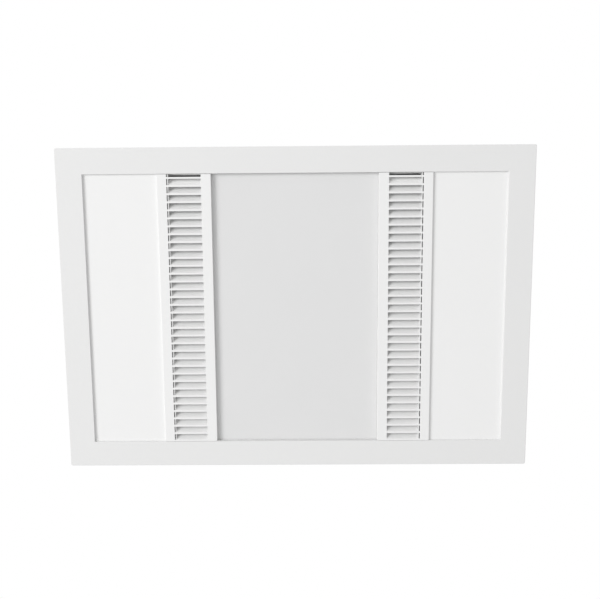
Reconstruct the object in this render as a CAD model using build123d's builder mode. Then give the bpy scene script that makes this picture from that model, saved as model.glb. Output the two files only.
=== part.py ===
from build123d import *
import os
from math import cos, pi, radians, sin, tan

os.makedirs("parts", exist_ok=True)

# Recessed ceiling heater with light and exhaust fan.
# The plane z = 0 is the underside of the ceiling. The fascia hangs below it and the housing
# stands above it, in the roof space. The origin is the middle of the four fixing holes.

# Driving dimensions of the fascia
fascia_length = 630.0
fascia_width = 435.0
fascia_depth = 18.0
fascia_wall = 2.5
fascia_corner = 2.5
fascia_edge_round = 0.8
opening_edge_round = 0.5
ceiling_gap = 0.5
housing_margin = 27.5
end_border = 35.0
side_border = 34.5

# What the opening shows, from the middle outwards
glass_view = 220.6
inner_rail = 13.2
slat_length = 45.5
outer_rail = 12.5

# Louvre mouldings
louvre_gap = 0.4
louvre_wall = 2.0
louvre_end_wall = 1.5
louvre_height = 15.0
rail_round = 0.5
blade_count = 35
joint_gap = 1.4
joint_web = 0.9
blade_edge_share = 0.227
blade_lean_share = 0.757
blade_rise = 10.0
first_blade_gap = 5.3
last_blade_gap = 1.3
glass_ledge = 6.0
louvre_tab_width = 14.0
louvre_tab_reach = 12.0

# Panels behind the opening
glass_recess = 7.0
glass_thickness = 4.0
glass_tuck = 5.2
glass_corner = 3.0
glass_arris = 0.5
gasket_thickness = 1.0
gasket_inset = 0.7
diffuser_recess = 3.5
diffuser_thickness = 2.5
diffuser_tuck = 2.2
panel_gap = 0.5

# Panel clips, their screws and bosses
clip_length = 12.0
clip_width = 10.0
clip_thickness = 1.0
clip_hole_offset = 2.0
boss_radius = 3.0
boss_gap = 0.8
glass_clip_pitch = 75.0
diffuser_clip_pitch = 110.0
panel_screw_radius = 1.25
panel_screw_length = 5.5
panel_screw_head_radius = 2.6
panel_screw_head_height = 1.6
screw_clearance = 0.05
recess_depth_share = 0.5

# Latch tongues on the fascia and their spring clips
tongue_width = 14.0
tongue_top = 24.0
tongue_round = 3.0
spring_thickness = 0.6
spring_foot = 3.0
spring_height = 30.0
spring_bump_height = 13.0
latch_gap = 0.3

# Housing
sheet = 1.0
housing_length = 575.0
housing_height = 112.0
flange_width = 22.0
bend_radius = 3.0
fixing_pitch_x = 400.0
fixing_hole_margin = 10.5
fixing_hole_radius = 2.5
foam_width = 5.0
foam_thickness = 2.5
foam_margin = 2.0
rib_thickness = 2.0

# Swing-out ceiling clamps
clamp_pitch_y = 240.0
clamp_screw_radius = 2.0
clamp_screw_length = 65.0
clamp_screw_hole_radius = 2.3
clamp_head_radius = 3.8
clamp_head_height = 2.4
clamp_stand_off = 3.8
clamp_boss_radius = 3.4
clamp_boss_height = 10.0
clamp_arm_length = 28.0
clamp_arm_width = 6.0
clamp_arm_thickness = 3.0
clamp_height = 20.0
bracket_top = 62.0
bracket_leg = 14.0
bracket_width = 14.0
bracket_reach = 8.5
running_gap = 0.05

# Heater box
shield_sheet = 0.8
shield_length = 229.6
shield_bottom = 3.0
shield_top = 66.0
shield_lip = 9.0
reflector_sheet = 0.6
reflector_end_gap = 37.0
trough_count = 3
trough_pitch = 70.0
trough_radius = 38.0
trough_axis = 12.0
tube_axis = 28.0
tube_radius = 6.0
tube_wall = 1.0
tube_end_gap = 2.0
coil_radius = 2.2
coil_end_gap = 12.0
coil_pin_radius = 1.2
cap_radius = 8.5
cap_length = 24.0
cap_socket = 10.0
cap_gap = 0.1
tube_bracket_inset = 8.0
tube_bracket_foot = 12.0
cutout_radius = 9.0
cutout_height = 8.0
cutout_flange_length = 30.0
cutout_flange_width = 12.0
cutout_flange_thickness = 1.2
cutout_blade_width = 5.0
cutout_blade_height = 8.0
cutout_blade_thickness = 0.8
cutout_place_share = 0.6

# Lights
tray_top = 26.0
tray_bottom = 1.0
tray_sheet = 0.8
tray_overlap = 6.5
board_thickness = 1.6
board_side_gap = 13.95
board_end_gap = 24.0
chip_size = 4.0
chip_height = 0.8
chip_columns = 3
chip_rows = 11

# Fan scroll
casing_height = 104.0
casing_wall = 2.0
impeller_radius = 80.0
tongue_gap = 8.0
scroll_step = 16.0
outlet_width = 104.0
outlet_reach = 205.0
casing_lug_radius = 7.0
lid_overhang = 4.0
inlet_radius = 68.0
inlet_flange_radius = 80.0
inlet_throat_radius = 60.0
inlet_ring_wall = 1.5
inlet_overlap = 2.0
inlet_lip_height = 6.0

# Impeller
impeller_bottom_gap = 4.0
impeller_height = 80.0
blade_inner_radius = 66.0
fan_blade_count = 36
fan_blade_thickness = 1.2
fan_blade_sweep = 9.0
fan_blade_bow = 1.6
impeller_plate = 2.0
cup_top_radius = 56.0
cup_bottom_radius = 49.0
cup_depth = 40.0
hub_radius = 11.0
hub_length = 16.0
shaft_radius = 4.0
bore_gap = 0.02

# Motor
motor_radius = 45.0
motor_wall = 2.0
motor_lift = 10.0
motor_round = 5.0
motor_dome_height = 6.0
motor_dome_inset = 4.0
motor_boss_radius = 12.0
motor_boss_height = 3.0
bearing_radius = 9.0
bearing_height = 8.0
stator_inner_radius = 24.5
stator_height = 30.0
rotor_gap = 0.6
ear_radius = 8.0
ear_pitch_radius = 62.0
ear_thickness = 2.0
ear_count = 3
lid_hole_radius = 50.0
grommet_radius = 6.0
grommet_height = 6.0
grommet_waist = 4.0
motor_screw_radius = 2.0
motor_screw_head_radius = 3.8
motor_screw_head_height = 2.6

# Outlet spigot and back-draught flaps
spigot_radius = 49.0
spigot_wall = 2.0
spigot_plate = 2.5
spigot_length = 80.0
spigot_bead = 1.2
bead_width = 4.0
bead_offset = 8.0
flap_pin_place = 27.0
flap_pin_radius = 1.5
flap_pin_inset = 0.4
flap_thickness = 1.2
flap_gap = 0.8
flap_seat = 3.5
flap_seat_thickness = 2.5
knuckle_radius = 2.8
knuckle_end_gap = 0.5
spring_room = 12.0
spring_wire = 0.8
seat_gap = 0.3

# Terminal box
box_length = 90.0
box_width = 110.0
box_height = 34.0
box_wall = 2.0
box_corner = 4.0
box_edge_gap = 15.5
box_place_y = 0.0
cover_thickness = 2.0
cover_rim = 3.0
cover_pin_radius = 1.25
hinge_radius = 3.0
hinge_width = 16.0
hinge_spacing = 60.0
hinge_gap = 0.3
block_length = 72.0
block_width = 22.0
block_height = 15.0
block_ways = 6
block_wire_radius = 2.2
block_screw_radius = 2.4
gland_radius = 8.0
gland_hex = 12.0
gland_length = 22.0
gland_bore = 5.0
gland_hex_height = 5.0
gland_arris = 1.5
gland_place_share = 0.25
roof_hole_radius = 8.0
grommet_bore = 7.0
grommet_lip = 2.5

# Internal leads
lead_radius = 2.0
lead_grid = 1.0
bend_share = 0.45

# What stands on the roof of the housing beside the fan
driver_length = 110.0
driver_width = 40.0
driver_height = 26.0
driver_round = 3.0
driver_ear = 10.0
driver_ear_thickness = 2.5
driver_x = 110.0
driver_edge_gap = 12.0
capacitor_radius = 15.0
capacitor_length = 50.0
capacitor_round = 2.0
capacitor_end_gap = 50.5
capacitor_edge_gap = 19.0
strap_thickness = 1.0
strap_width = 14.0
strap_foot = 11.0

# Self-tapping screws that hold the sheet metal together
tap_radius = 1.7
tap_length = 6.0
tap_head_radius = 3.5
tap_head_height = 2.0

# Cuts run past the faces that they open by this much
overrun = 2.0

# Levels, from the face of the fascia upwards
face_z = -fascia_depth
plate_z = face_z + fascia_wall
glass_z = face_z + glass_recess
glass_top_z = glass_z + glass_thickness
ledge_z = glass_z - gasket_thickness
diffuser_z = face_z + diffuser_recess
diffuser_top_z = diffuser_z + diffuser_thickness
louvre_tab_z = glass_z
foam_z = -sheet - foam_thickness
roof_z = housing_height
casing_top_z = roof_z + casing_height

# What follows the width of the fascia and the length of the housing
housing_width = fascia_width - 2 * housing_margin
fixing_pitch_y = housing_width + 2 * fixing_hole_margin
driver_y = driver_edge_gap + driver_width / 2 - housing_width / 2
capacitor_y = housing_width / 2 - capacitor_edge_gap - capacitor_radius
capacitor_x = capacitor_end_gap + capacitor_length / 2 - housing_length / 2

# Lines across the fascia, from the middle outwards
opening_x = fascia_length / 2 - end_border
opening_y = fascia_width / 2 - side_border
glass_x = glass_view / 2
slat_x = glass_x + inner_rail
slat_end_x = slat_x + slat_length
diffuser_x = slat_end_x + outer_rail
louvre_y = opening_y - louvre_gap
slat_middle_x = (slat_x + slat_end_x) / 2
glass_edge_x = glass_x + glass_tuck
glass_edge_y = opening_y + glass_tuck
diffuser_inner_x = slat_end_x + louvre_wall + panel_gap
diffuser_outer_x = opening_x + diffuser_tuck
diffuser_edge_y = opening_y + diffuser_tuck

# Screw places of the panels and louvres
glass_screw_y = glass_edge_y + boss_gap + boss_radius
diffuser_screw_x = diffuser_outer_x + boss_gap + boss_radius
diffuser_screw_y = diffuser_edge_y + boss_gap + boss_radius
louvre_tab_x = (slat_x + louvre_tab_width / 4, slat_end_x - louvre_tab_width / 4)
louvre_screw_y = louvre_y + louvre_tab_reach - boss_radius - boss_gap
diffuser_middle_x = (diffuser_x + opening_x) / 2

# Inside faces of the housing
inside_x = housing_length / 2 - sheet
inside_y = housing_width / 2 - sheet
clamp_x = housing_length / 2 + clamp_stand_off
clamp_y = clamp_pitch_y / 2

# Lengths of what lies between the long walls
board_length = 2 * (inside_y - board_end_gap)
reflector_length = 2 * (inside_y - reflector_end_gap)
tube_length = reflector_length - 2 * tube_end_gap
coil_length = tube_length - 2 * coil_end_gap

glass_screws = []
for side in (-1, 1):
    for step in (-1, 0, 1):
        glass_screws.append((step * glass_clip_pitch, side * glass_screw_y))
diffuser_end_screws = []
diffuser_side_screws = []
for end in (-1, 1):
    for step in (-1, 0, 1):
        diffuser_end_screws.append((end * diffuser_screw_x, step * diffuser_clip_pitch))
    for side in (-1, 1):
        diffuser_side_screws.append((end * diffuser_middle_x, side * diffuser_screw_y))
louvre_screws = []
for end in (-1, 1):
    for side in (-1, 1):
        for tab_x in louvre_tab_x:
            louvre_screws.append((end * tab_x, side * louvre_screw_y))
tongue_y = opening_y + fascia_wall / 2
tongues = [(end * slat_middle_x, side * tongue_y) for end in (-1, 1) for side in (-1, 1)]
clamps = [(end * clamp_x, side * clamp_y) for end in (-1, 1) for side in (-1, 1)]


def patch(x_low, x_high, y_low, y_high, mode=Mode.ADD):
    """A rectangle given by its four edges, in the sketch being drawn."""
    with Locations(((x_low + x_high) / 2, (y_low + y_high) / 2)):
        Rectangle(x_high - x_low, y_high - y_low, mode=mode)


# Fascia frame: broad flat border with a skirt, ledges for the panels, bosses and latch tongues
with BuildPart() as fascia_frame:
    with BuildSketch(Plane.XY.offset(face_z)):
        RectangleRounded(fascia_length, fascia_width, fascia_corner)
    extrude(amount=fascia_depth - ceiling_gap)
    fillet(fascia_frame.faces().sort_by(Axis.Z)[0].edges(), fascia_edge_round)
    with BuildSketch(Plane.XY.offset(plate_z)):
        RectangleRounded(fascia_length - 2 * fascia_wall, fascia_width - 2 * fascia_wall, fascia_corner / 2)
    extrude(amount=fascia_depth, mode=Mode.SUBTRACT)
    with BuildSketch(Plane.XY.offset(plate_z)):
        Rectangle(2 * (opening_x + fascia_wall), 2 * (opening_y + fascia_wall))
    extrude(amount=diffuser_z - plate_z)
    with BuildSketch(Plane.XY.offset(plate_z)):
        Rectangle(2 * glass_edge_x, 2 * (opening_y + glass_ledge))
    extrude(amount=ledge_z - plate_z)
    with BuildSketch(Plane.XY.offset(face_z - overrun)):
        Rectangle(2 * opening_x, 2 * opening_y)
    extrude(amount=fascia_depth + overrun, mode=Mode.SUBTRACT)
    opening_edges = fascia_frame.faces().sort_by(Axis.Z)[0].inner_wires()[0].edges()
    fillet(opening_edges, opening_edge_round)
    # Rib that meets the foam seal
    rib_x = housing_length / 2 + flange_width - foam_margin - foam_width / 2
    rib_y = housing_width / 2 + flange_width - foam_margin - foam_width / 2
    with BuildSketch(Plane.XY.offset(plate_z)):
        Rectangle(2 * rib_x + rib_thickness, 2 * rib_y + rib_thickness)
        Rectangle(2 * rib_x - rib_thickness, 2 * rib_y - rib_thickness, mode=Mode.SUBTRACT)
    extrude(amount=foam_z - seat_gap - plate_z)
    # Bosses under the clips and louvre tabs
    for places, top_z in (
        (glass_screws, glass_top_z),
        (diffuser_end_screws + diffuser_side_screws, diffuser_top_z),
        (louvre_screws, louvre_tab_z),
    ):
        with BuildSketch(Plane.XY.offset(plate_z)):
            with Locations(*places):
                Circle(boss_radius)
        extrude(amount=top_z - plate_z)
        with BuildSketch(Plane.XY.offset(face_z + fascia_wall * recess_depth_share)):
            with Locations(*places):
                Circle(panel_screw_radius + screw_clearance)
        extrude(amount=fascia_depth, mode=Mode.SUBTRACT)
    # Latch tongues
    with BuildSketch(Plane.XY.offset(plate_z)):
        with Locations(*tongues):
            Rectangle(tongue_width, fascia_wall)
    extrude(amount=tongue_top - plate_z)
    tongue_corners = fascia_frame.faces().sort_by(Axis.Z)[-4:].edges().filter_by(Axis.Y)
    fillet(tongue_corners, tongue_round)
fascia_frame.part.label = "fascia_frame"
export_step(fascia_frame.part, "parts/fascia_frame.step")

# Louvre moulding: two rails, a web each side of the air slot, sloping blades and end tabs
blade_span = 2 * opening_y - first_blade_gap - last_blade_gap
blade_pitch = blade_span / (blade_count - 1)
blade_lean = blade_lean_share * blade_pitch
blade_edge = blade_edge_share * blade_pitch
with BuildPart() as louvre_right:
    with BuildSketch(Plane.YZ.offset(slat_x - louvre_wall / 2)):
        for number in range(blade_count):
            edge_y = -opening_y + first_blade_gap + number * blade_pitch
            lean = blade_lean if number else 0
            with BuildLine():
                Polyline(
                    (edge_y - blade_edge / 2, face_z),
                    (edge_y + blade_edge / 2, face_z),
                    (edge_y + blade_edge / 2 - lean, face_z + blade_rise),
                    (edge_y - blade_edge / 2 - lean, face_z + blade_rise),
                    close=True,
                )
            make_face()
        patch(-louvre_y, louvre_y, face_z, face_z + louvre_height, mode=Mode.INTERSECT)
    extrude(amount=slat_length + louvre_wall / 2 - joint_gap)
    # The front edge of each blade bridges the joint between the blades' web and the outer rail
    with BuildSketch(Plane.YZ.offset(slat_end_x - joint_gap - joint_web)):
        for number in range(blade_count):
            edge_y = -opening_y + first_blade_gap + number * blade_pitch
            patch(edge_y - blade_edge / 2, edge_y + blade_edge / 2, face_z, face_z + blade_edge)
        patch(-louvre_y, louvre_y, face_z, face_z + louvre_height, mode=Mode.INTERSECT)
    extrude(amount=joint_gap + joint_web + louvre_wall / 2)
    with BuildSketch(Plane.XZ):
        patch(glass_x, slat_x, face_z, plate_z)
        patch(glass_x, glass_x + glass_ledge, face_z, ledge_z)
        patch(slat_x - louvre_wall, slat_x, face_z, face_z + louvre_height)
        patch(slat_end_x, slat_end_x + louvre_wall, face_z, face_z + louvre_height)
        patch(slat_end_x - joint_gap - joint_web, slat_end_x - joint_gap, face_z, face_z + louvre_height)
        patch(slat_end_x, diffuser_x, face_z, diffuser_z)
    extrude(amount=louvre_y, both=True)
    with BuildSketch(Plane.XY.offset(louvre_tab_z)):
        for side in (-1, 1):
            end_wall_y = side * (louvre_y - louvre_end_wall / 2)
            with Locations((slat_middle_x, end_wall_y)):
                Rectangle(slat_length + louvre_wall, louvre_end_wall)
    extrude(amount=face_z + louvre_height - louvre_tab_z)
    with BuildSketch(Plane.XY.offset(louvre_tab_z)):
        for tab_x in louvre_tab_x:
            for side in (-1, 1):
                with Locations((tab_x, side * (louvre_y + (louvre_tab_reach - louvre_end_wall) / 2))):
                    Rectangle(louvre_tab_width, louvre_tab_reach + louvre_end_wall)
                with Locations((tab_x, side * louvre_screw_y)):
                    Circle(panel_screw_radius + screw_clearance, mode=Mode.SUBTRACT)
    extrude(amount=louvre_wall)
    rail_edges = louvre_right.edges().group_by(Axis.Z)[0].filter_by(
        lambda edge: edge.length > louvre_y
    )
    fillet(rail_edges, rail_round)
louvre_right.part.label = "louvre_right"
export_step(louvre_right.part, "parts/louvre_right.step")

with BuildPart() as louvre_left:
    mirror(louvre_right.part, about=Plane.YZ)
louvre_left.part.label = "louvre_left"
export_step(louvre_left.part, "parts/louvre_left.step")

# Frosted glass in front of the heat tubes
with BuildPart() as heater_glass:
    with BuildSketch(Plane.XY.offset(glass_z)):
        RectangleRounded(2 * glass_edge_x, 2 * glass_edge_y, glass_corner)
    extrude(amount=glass_thickness)
    chamfer(heater_glass.faces().filter_by(Axis.Z).edges(), glass_arris)
heater_glass.part.label = "heater_glass"
export_step(heater_glass.part, "parts/heater_glass.step")

# Soft ring between the glass and its ledge
with BuildPart() as glass_gasket:
    with BuildSketch(Plane.XY.offset(ledge_z)):
        RectangleRounded(2 * glass_edge_x, 2 * glass_edge_y, glass_corner)
        Rectangle(2 * (glass_x + gasket_inset), 2 * (opening_y + gasket_inset), mode=Mode.SUBTRACT)
    extrude(amount=gasket_thickness)
glass_gasket.part.label = "glass_gasket"
export_step(glass_gasket.part, "parts/glass_gasket.step")

# Opal diffusers of the two lights
with BuildPart() as diffuser_right:
    with BuildSketch(Plane.XY.offset(diffuser_z)):
        patch(diffuser_inner_x, diffuser_outer_x, -diffuser_edge_y, diffuser_edge_y)
    extrude(amount=diffuser_thickness)
diffuser_right.part.label = "diffuser_right"
export_step(diffuser_right.part, "parts/diffuser_right.step")

with BuildPart() as diffuser_left:
    mirror(diffuser_right.part, about=Plane.YZ)
diffuser_left.part.label = "diffuser_left"
export_step(diffuser_left.part, "parts/diffuser_left.step")


def clip_outlines(places, across):
    """Clip plates with their screw holes, which reach from each boss towards the middle."""
    for x, y in places:
        inward_x = -clip_hole_offset * (1 if x > 0 else -1) if across else 0
        inward_y = 0 if across else -clip_hole_offset * (1 if y > 0 else -1)
        with Locations((x + inward_x, y + inward_y)):
            if across:
                Rectangle(clip_length, clip_width)
            else:
                Rectangle(clip_width, clip_length)
        with Locations((x, y)):
            Circle(panel_screw_radius + screw_clearance, mode=Mode.SUBTRACT)


with BuildPart() as panel_clips:
    with BuildSketch(Plane.XY.offset(glass_top_z)):
        clip_outlines(glass_screws, across=False)
    extrude(amount=clip_thickness)
    with BuildSketch(Plane.XY.offset(diffuser_top_z)):
        clip_outlines(diffuser_end_screws, across=True)
        clip_outlines(diffuser_side_screws, across=False)
    extrude(amount=clip_thickness)
panel_clips.part.label = "panel_clips"
export_step(panel_clips.part, "parts/panel_clips.step")

# Pan-head screws of the clips and louvre tabs
with BuildPart() as panel_screws:
    for places, seat_z in (
        (glass_screws, glass_top_z + clip_thickness),
        (diffuser_end_screws + diffuser_side_screws, diffuser_top_z + clip_thickness),
        (louvre_screws, louvre_tab_z + louvre_wall),
    ):
        recess_z = face_z + fascia_wall * recess_depth_share
        shank_z = max(seat_z - panel_screw_length, recess_z + screw_clearance)
        with BuildSketch(Plane.XY.offset(shank_z)):
            with Locations(*places):
                Circle(panel_screw_radius)
        extrude(amount=seat_z - shank_z)
        with BuildSketch(Plane.XY.offset(seat_z)):
            with Locations(*places):
                Circle(panel_screw_head_radius)
        extrude(amount=panel_screw_head_height)
panel_screws.part.label = "panel_screws"
export_step(panel_screws.part, "parts/panel_screws.step")

# Screws through the sheet metal: place, and the direction in which each one is driven
shield_top_inner = shield_top - shield_sheet
wall_face_y = housing_width / 2
shield_screw_z = (shield_bottom + shield_top) / 2
tray_screw_z = (tray_bottom + tray_top) / 2
bracket_y = reflector_length / 2 + tube_bracket_inset - shield_sheet
side_screws = []
for side in (-1, 1):
    for end in (-1, 1):
        side_screws.append((end * shield_length / 4, side, shield_screw_z))
        side_screws.append((end * (diffuser_inner_x + inside_x) / 2, side, tray_screw_z))
bracket_screws = []
for side in (-1, 1):
    for end in (-1, 1):
        bracket_screws.append((end * trough_pitch, side * (bracket_y + tube_bracket_foot / 2)))
driver_screws = [(driver_x + end * (driver_length + driver_ear) / 2, driver_y) for end in (-1, 1)]
strap_screw_y = capacitor_radius + strap_thickness + strap_foot / 2
strap_screws = [(capacitor_x, capacitor_y + side * strap_screw_y) for side in (-1, 1)]

# Fan scroll, seen from above: three arcs that widen clockwise, an outlet towards +X and a tongue
scroll_radius = impeller_radius + tongue_gap + scroll_step / 2
half_step = scroll_step / 2
scroll_top_y = half_step + scroll_radius + 2 * scroll_step
outlet_low_y = scroll_top_y - outlet_width
tongue_radius = outlet_low_y + half_step
tongue_x = scroll_radius - half_step
scroll_bottom_y = -half_step - scroll_radius
scroll_left_x = -half_step - scroll_radius - scroll_step
outlet_middle_y = (outlet_low_y + scroll_top_y) / 2
outlet_middle_z = (roof_z + casing_top_z) / 2
casing_floor_z = roof_z + casing_wall
lid_z = casing_top_z - casing_wall
lug_reach = casing_wall + casing_lug_radius / 2
casing_lugs = (
    (scroll_left_x - lug_reach, half_step),
    (-half_step, scroll_bottom_y - lug_reach),
    (half_step, scroll_top_y + lug_reach),
    (outlet_reach - 2 * casing_lug_radius, scroll_top_y + lug_reach),
    (outlet_reach - 2 * casing_lug_radius, outlet_low_y - lug_reach),
)

# Terminal box place on the roof
box_x = -housing_length / 2 + box_edge_gap + box_length / 2
box_low_x = box_x - box_length / 2
box_top_z = roof_z + box_height

# Housing: open-bottomed steel box with a flange that seats on the ceiling
with BuildPart() as housing:
    with BuildSketch(Plane.XY.offset(-sheet)):
        RectangleRounded(
            housing_length + 2 * flange_width, housing_width + 2 * flange_width, bend_radius
        )
    extrude(amount=sheet)
    with BuildSketch():
        RectangleRounded(housing_length, housing_width, bend_radius)
    extrude(amount=housing_height)
    with BuildSketch(Plane.XY.offset(-overrun)):
        RectangleRounded(2 * inside_x, 2 * inside_y, bend_radius - sheet)
    extrude(amount=housing_height + overrun - sheet, mode=Mode.SUBTRACT)
    # Fixing holes and clamp screw holes in the flange
    with BuildSketch(Plane.XY.offset(-overrun)):
        with GridLocations(fixing_pitch_x, fixing_pitch_y, 2, 2):
            Circle(fixing_hole_radius)
        with Locations(*clamps):
            Circle(clamp_screw_hole_radius)
    extrude(amount=2 * overrun, mode=Mode.SUBTRACT)
    # Holes in the roof: fan inlet, wiring grommet, screws
    with BuildSketch(Plane.XY.offset(roof_z - overrun)):
        Circle(inlet_radius)
        with Locations((box_x, box_place_y)):
            Circle(roof_hole_radius)
        with Locations(*casing_lugs, *driver_screws, *strap_screws):
            Circle(tap_radius + screw_clearance)
    extrude(amount=2 * overrun, mode=Mode.SUBTRACT)
    # Screw holes in the long walls
    for x, side, z in side_screws:
        with BuildSketch(Plane.XZ.offset(-side * wall_face_y)):
            with Locations((x, z)):
                Circle(tap_radius + screw_clearance)
        extrude(amount=overrun, both=True, mode=Mode.SUBTRACT)
housing.part.label = "housing"
export_step(housing.part, "parts/housing.step")

# Foam strip under the flange, which the fascia rib meets
with BuildPart() as foam_seal:
    with BuildSketch(Plane.XY.offset(foam_z)):
        Rectangle(2 * rib_x + foam_width, 2 * rib_y + foam_width)
        Rectangle(2 * rib_x - foam_width, 2 * rib_y - foam_width, mode=Mode.SUBTRACT)
    extrude(amount=foam_thickness)
foam_seal.part.label = "foam_seal"
export_step(foam_seal.part, "parts/foam_seal.step")

# Leaf springs on the long walls, one beside each latch tongue
spring_y = inside_y - spring_thickness / 2
bump_y = opening_y + fascia_wall + latch_gap + spring_thickness / 2
with BuildPart() as spring_clips:
    with BuildSketch(Plane.YZ.offset(slat_middle_x)):
        with BuildLine() as leaf:
            Polyline(
                (spring_y, spring_height),
                (spring_y, spring_bump_height + spring_foot),
                (bump_y, spring_bump_height),
                (spring_y - spring_thickness, spring_foot),
            )
        trace(leaf.edges(), line_width=spring_thickness)
    extrude(amount=tongue_width / 2, both=True)
    mirror(about=Plane.XZ)
    mirror(about=Plane.YZ)
spring_clips.part.label = "spring_clips"
export_step(spring_clips.part, "parts/spring_clips.step")

# Long screws of the ceiling clamps, driven from below
with BuildPart() as clamp_screws:
    with BuildSketch(Plane.XY.offset(-sheet)):
        with Locations(*clamps):
            Circle(clamp_screw_radius)
    extrude(amount=clamp_screw_length)
    with BuildSketch(Plane.XY.offset(-sheet - clamp_head_height)):
        with Locations(*clamps):
            Circle(clamp_head_radius)
    extrude(amount=clamp_head_height)
clamp_screws.part.label = "clamp_screws"
export_step(clamp_screws.part, "parts/clamp_screws.step")

# Angle brackets that hold the upper ends of the clamp screws
bracket_wall_x = housing_length / 2
with BuildPart() as clamp_brackets:
    for x, y in clamps:
        outward = 1 if x > 0 else -1
        x_edges = sorted((outward * bracket_wall_x, outward * (bracket_wall_x + bracket_reach)))
        leg_edges = sorted((outward * bracket_wall_x, outward * (bracket_wall_x + sheet)))
        with BuildSketch(Plane.XY.offset(bracket_top)):
            patch(*x_edges, y - bracket_width / 2, y + bracket_width / 2)
            with Locations((x, y)):
                Circle(clamp_screw_radius + running_gap, mode=Mode.SUBTRACT)
        extrude(amount=sheet)
        with BuildSketch(Plane.XY.offset(bracket_top - bracket_leg)):
            patch(*leg_edges, y - bracket_width / 2, y + bracket_width / 2)
        extrude(amount=bracket_leg)
clamp_brackets.part.label = "clamp_brackets"
export_step(clamp_brackets.part, "parts/clamp_brackets.step")

# Clamp arms, swung in along the short walls, each on its own screw
clamp_names = ("rear_left", "front_left", "rear_right", "front_right")
clamp_order = [(-clamp_x, clamp_y), (-clamp_x, -clamp_y), (clamp_x, clamp_y), (clamp_x, -clamp_y)]
for name, (x, y) in zip(clamp_names, clamp_order):
    inward = -1 if y > 0 else 1
    arm_edges = sorted((y, y + inward * clamp_arm_length))
    with BuildPart() as clamp_arm:
        with BuildSketch(Plane.XY.offset(clamp_height)):
            with Locations((x, y)):
                Circle(clamp_boss_radius)
        extrude(amount=clamp_boss_height)
        with BuildSketch(Plane.XY.offset(clamp_height)):
            patch(x - clamp_arm_width / 2, x + clamp_arm_width / 2, *arm_edges)
        extrude(amount=clamp_arm_thickness)
        arm_tip = clamp_arm.edges().filter_by(Axis.Z).sort_by(lambda edge: inward * edge.center().Y)[-2:]
        fillet(arm_tip, clamp_arm_width / 4)
        with BuildSketch(Plane.XY.offset(clamp_height - overrun)):
            with Locations((x, y)):
                Circle(clamp_screw_radius + running_gap)
        extrude(amount=clamp_boss_height + 2 * overrun, mode=Mode.SUBTRACT)
    clamp_arm.part.label = "clamp_arm_" + name
    export_step(clamp_arm.part, "parts/clamp_arm_" + name + ".step")

# Heat shield: box over the reflector, between the long walls of the housing
shield_x = shield_length / 2
with BuildPart() as heat_shield:
    with BuildSketch(Plane.XY.offset(shield_bottom)):
        Rectangle(shield_length, 2 * inside_y)
    extrude(amount=shield_top - shield_bottom)
    with BuildSketch(Plane.XY.offset(shield_bottom + shield_sheet)):
        Rectangle(shield_length - 2 * shield_sheet, 2 * (inside_y - shield_sheet))
    extrude(amount=shield_top_inner - shield_bottom - shield_sheet, mode=Mode.SUBTRACT)
    with BuildSketch(Plane.XY.offset(shield_bottom - overrun)):
        Rectangle(shield_length - 2 * shield_lip, 2 * (inside_y - shield_sheet))
    extrude(amount=2 * overrun, mode=Mode.SUBTRACT)
    for x, side, z in side_screws:
        if abs(x) < shield_x:
            with BuildSketch(Plane.XZ.offset(-side * inside_y)):
                with Locations((x, z)):
                    Circle(tap_radius + screw_clearance)
            extrude(amount=overrun, both=True, mode=Mode.SUBTRACT)
    with BuildSketch(Plane.XY.offset(shield_top - overrun)):
        with Locations(*bracket_screws):
            Circle(tap_radius + screw_clearance)
    extrude(amount=2 * overrun, mode=Mode.SUBTRACT)
heat_shield.part.label = "heat_shield"
export_step(heat_shield.part, "parts/heat_shield.step")

# Polished reflector: three troughs in one bent sheet, whose lips lie on those of the shield
reflector_x = trough_count * trough_pitch / 2
trough_edge_z = trough_axis + (trough_radius**2 - (trough_pitch / 2) ** 2) ** 0.5
reflector_z = shield_bottom + shield_sheet
trough_middles = [
    ((number + 0.5) * trough_pitch - reflector_x, trough_axis) for number in range(trough_count)
]
tube_places = [(x, tube_axis) for x, z in trough_middles]
with BuildPart() as reflector:
    with BuildSketch(Plane.XZ):
        with Locations(*trough_middles):
            Circle(trough_radius + reflector_sheet)
        patch(-reflector_x - reflector_sheet, reflector_x + reflector_sheet, reflector_z, trough_edge_z)
        patch(-2 * shield_length, 2 * shield_length, -2 * trough_radius, reflector_z, mode=Mode.SUBTRACT)
        with Locations(*trough_middles):
            Circle(trough_radius, mode=Mode.SUBTRACT)
        patch(-reflector_x, reflector_x, -2 * trough_radius, trough_edge_z, mode=Mode.SUBTRACT)
        lip_x = shield_x - shield_sheet - seat_gap
        for side in (-1, 1):
            lip_edges = sorted((side * reflector_x, side * lip_x))
            patch(*lip_edges, reflector_z, reflector_z + reflector_sheet)
    extrude(amount=reflector_length / 2, both=True)
reflector.part.label = "reflector"
export_step(reflector.part, "parts/reflector.step")

# Quartz tubes
with BuildPart() as heater_tubes:
    with BuildSketch(Plane.XZ):
        with Locations(*tube_places):
            Circle(tube_radius)
            Circle(tube_radius - tube_wall, mode=Mode.SUBTRACT)
    extrude(amount=tube_length / 2, both=True)
heater_tubes.part.label = "heater_tubes"
export_step(heater_tubes.part, "parts/heater_tubes.step")

# Heating coils with their end pins
cap_start_y = tube_length / 2 - cap_socket + seat_gap
cap_end_y = cap_start_y + cap_length
with BuildPart() as heater_coils:
    with BuildSketch(Plane.XZ):
        with Locations(*tube_places):
            Circle(coil_radius)
    extrude(amount=coil_length / 2, both=True)
    with BuildSketch(Plane.XZ):
        with Locations(*tube_places):
            Circle(coil_pin_radius)
    extrude(amount=cap_end_y, both=True)
heater_coils.part.label = "heater_coils"
export_step(heater_coils.part, "parts/heater_coils.step")

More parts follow.
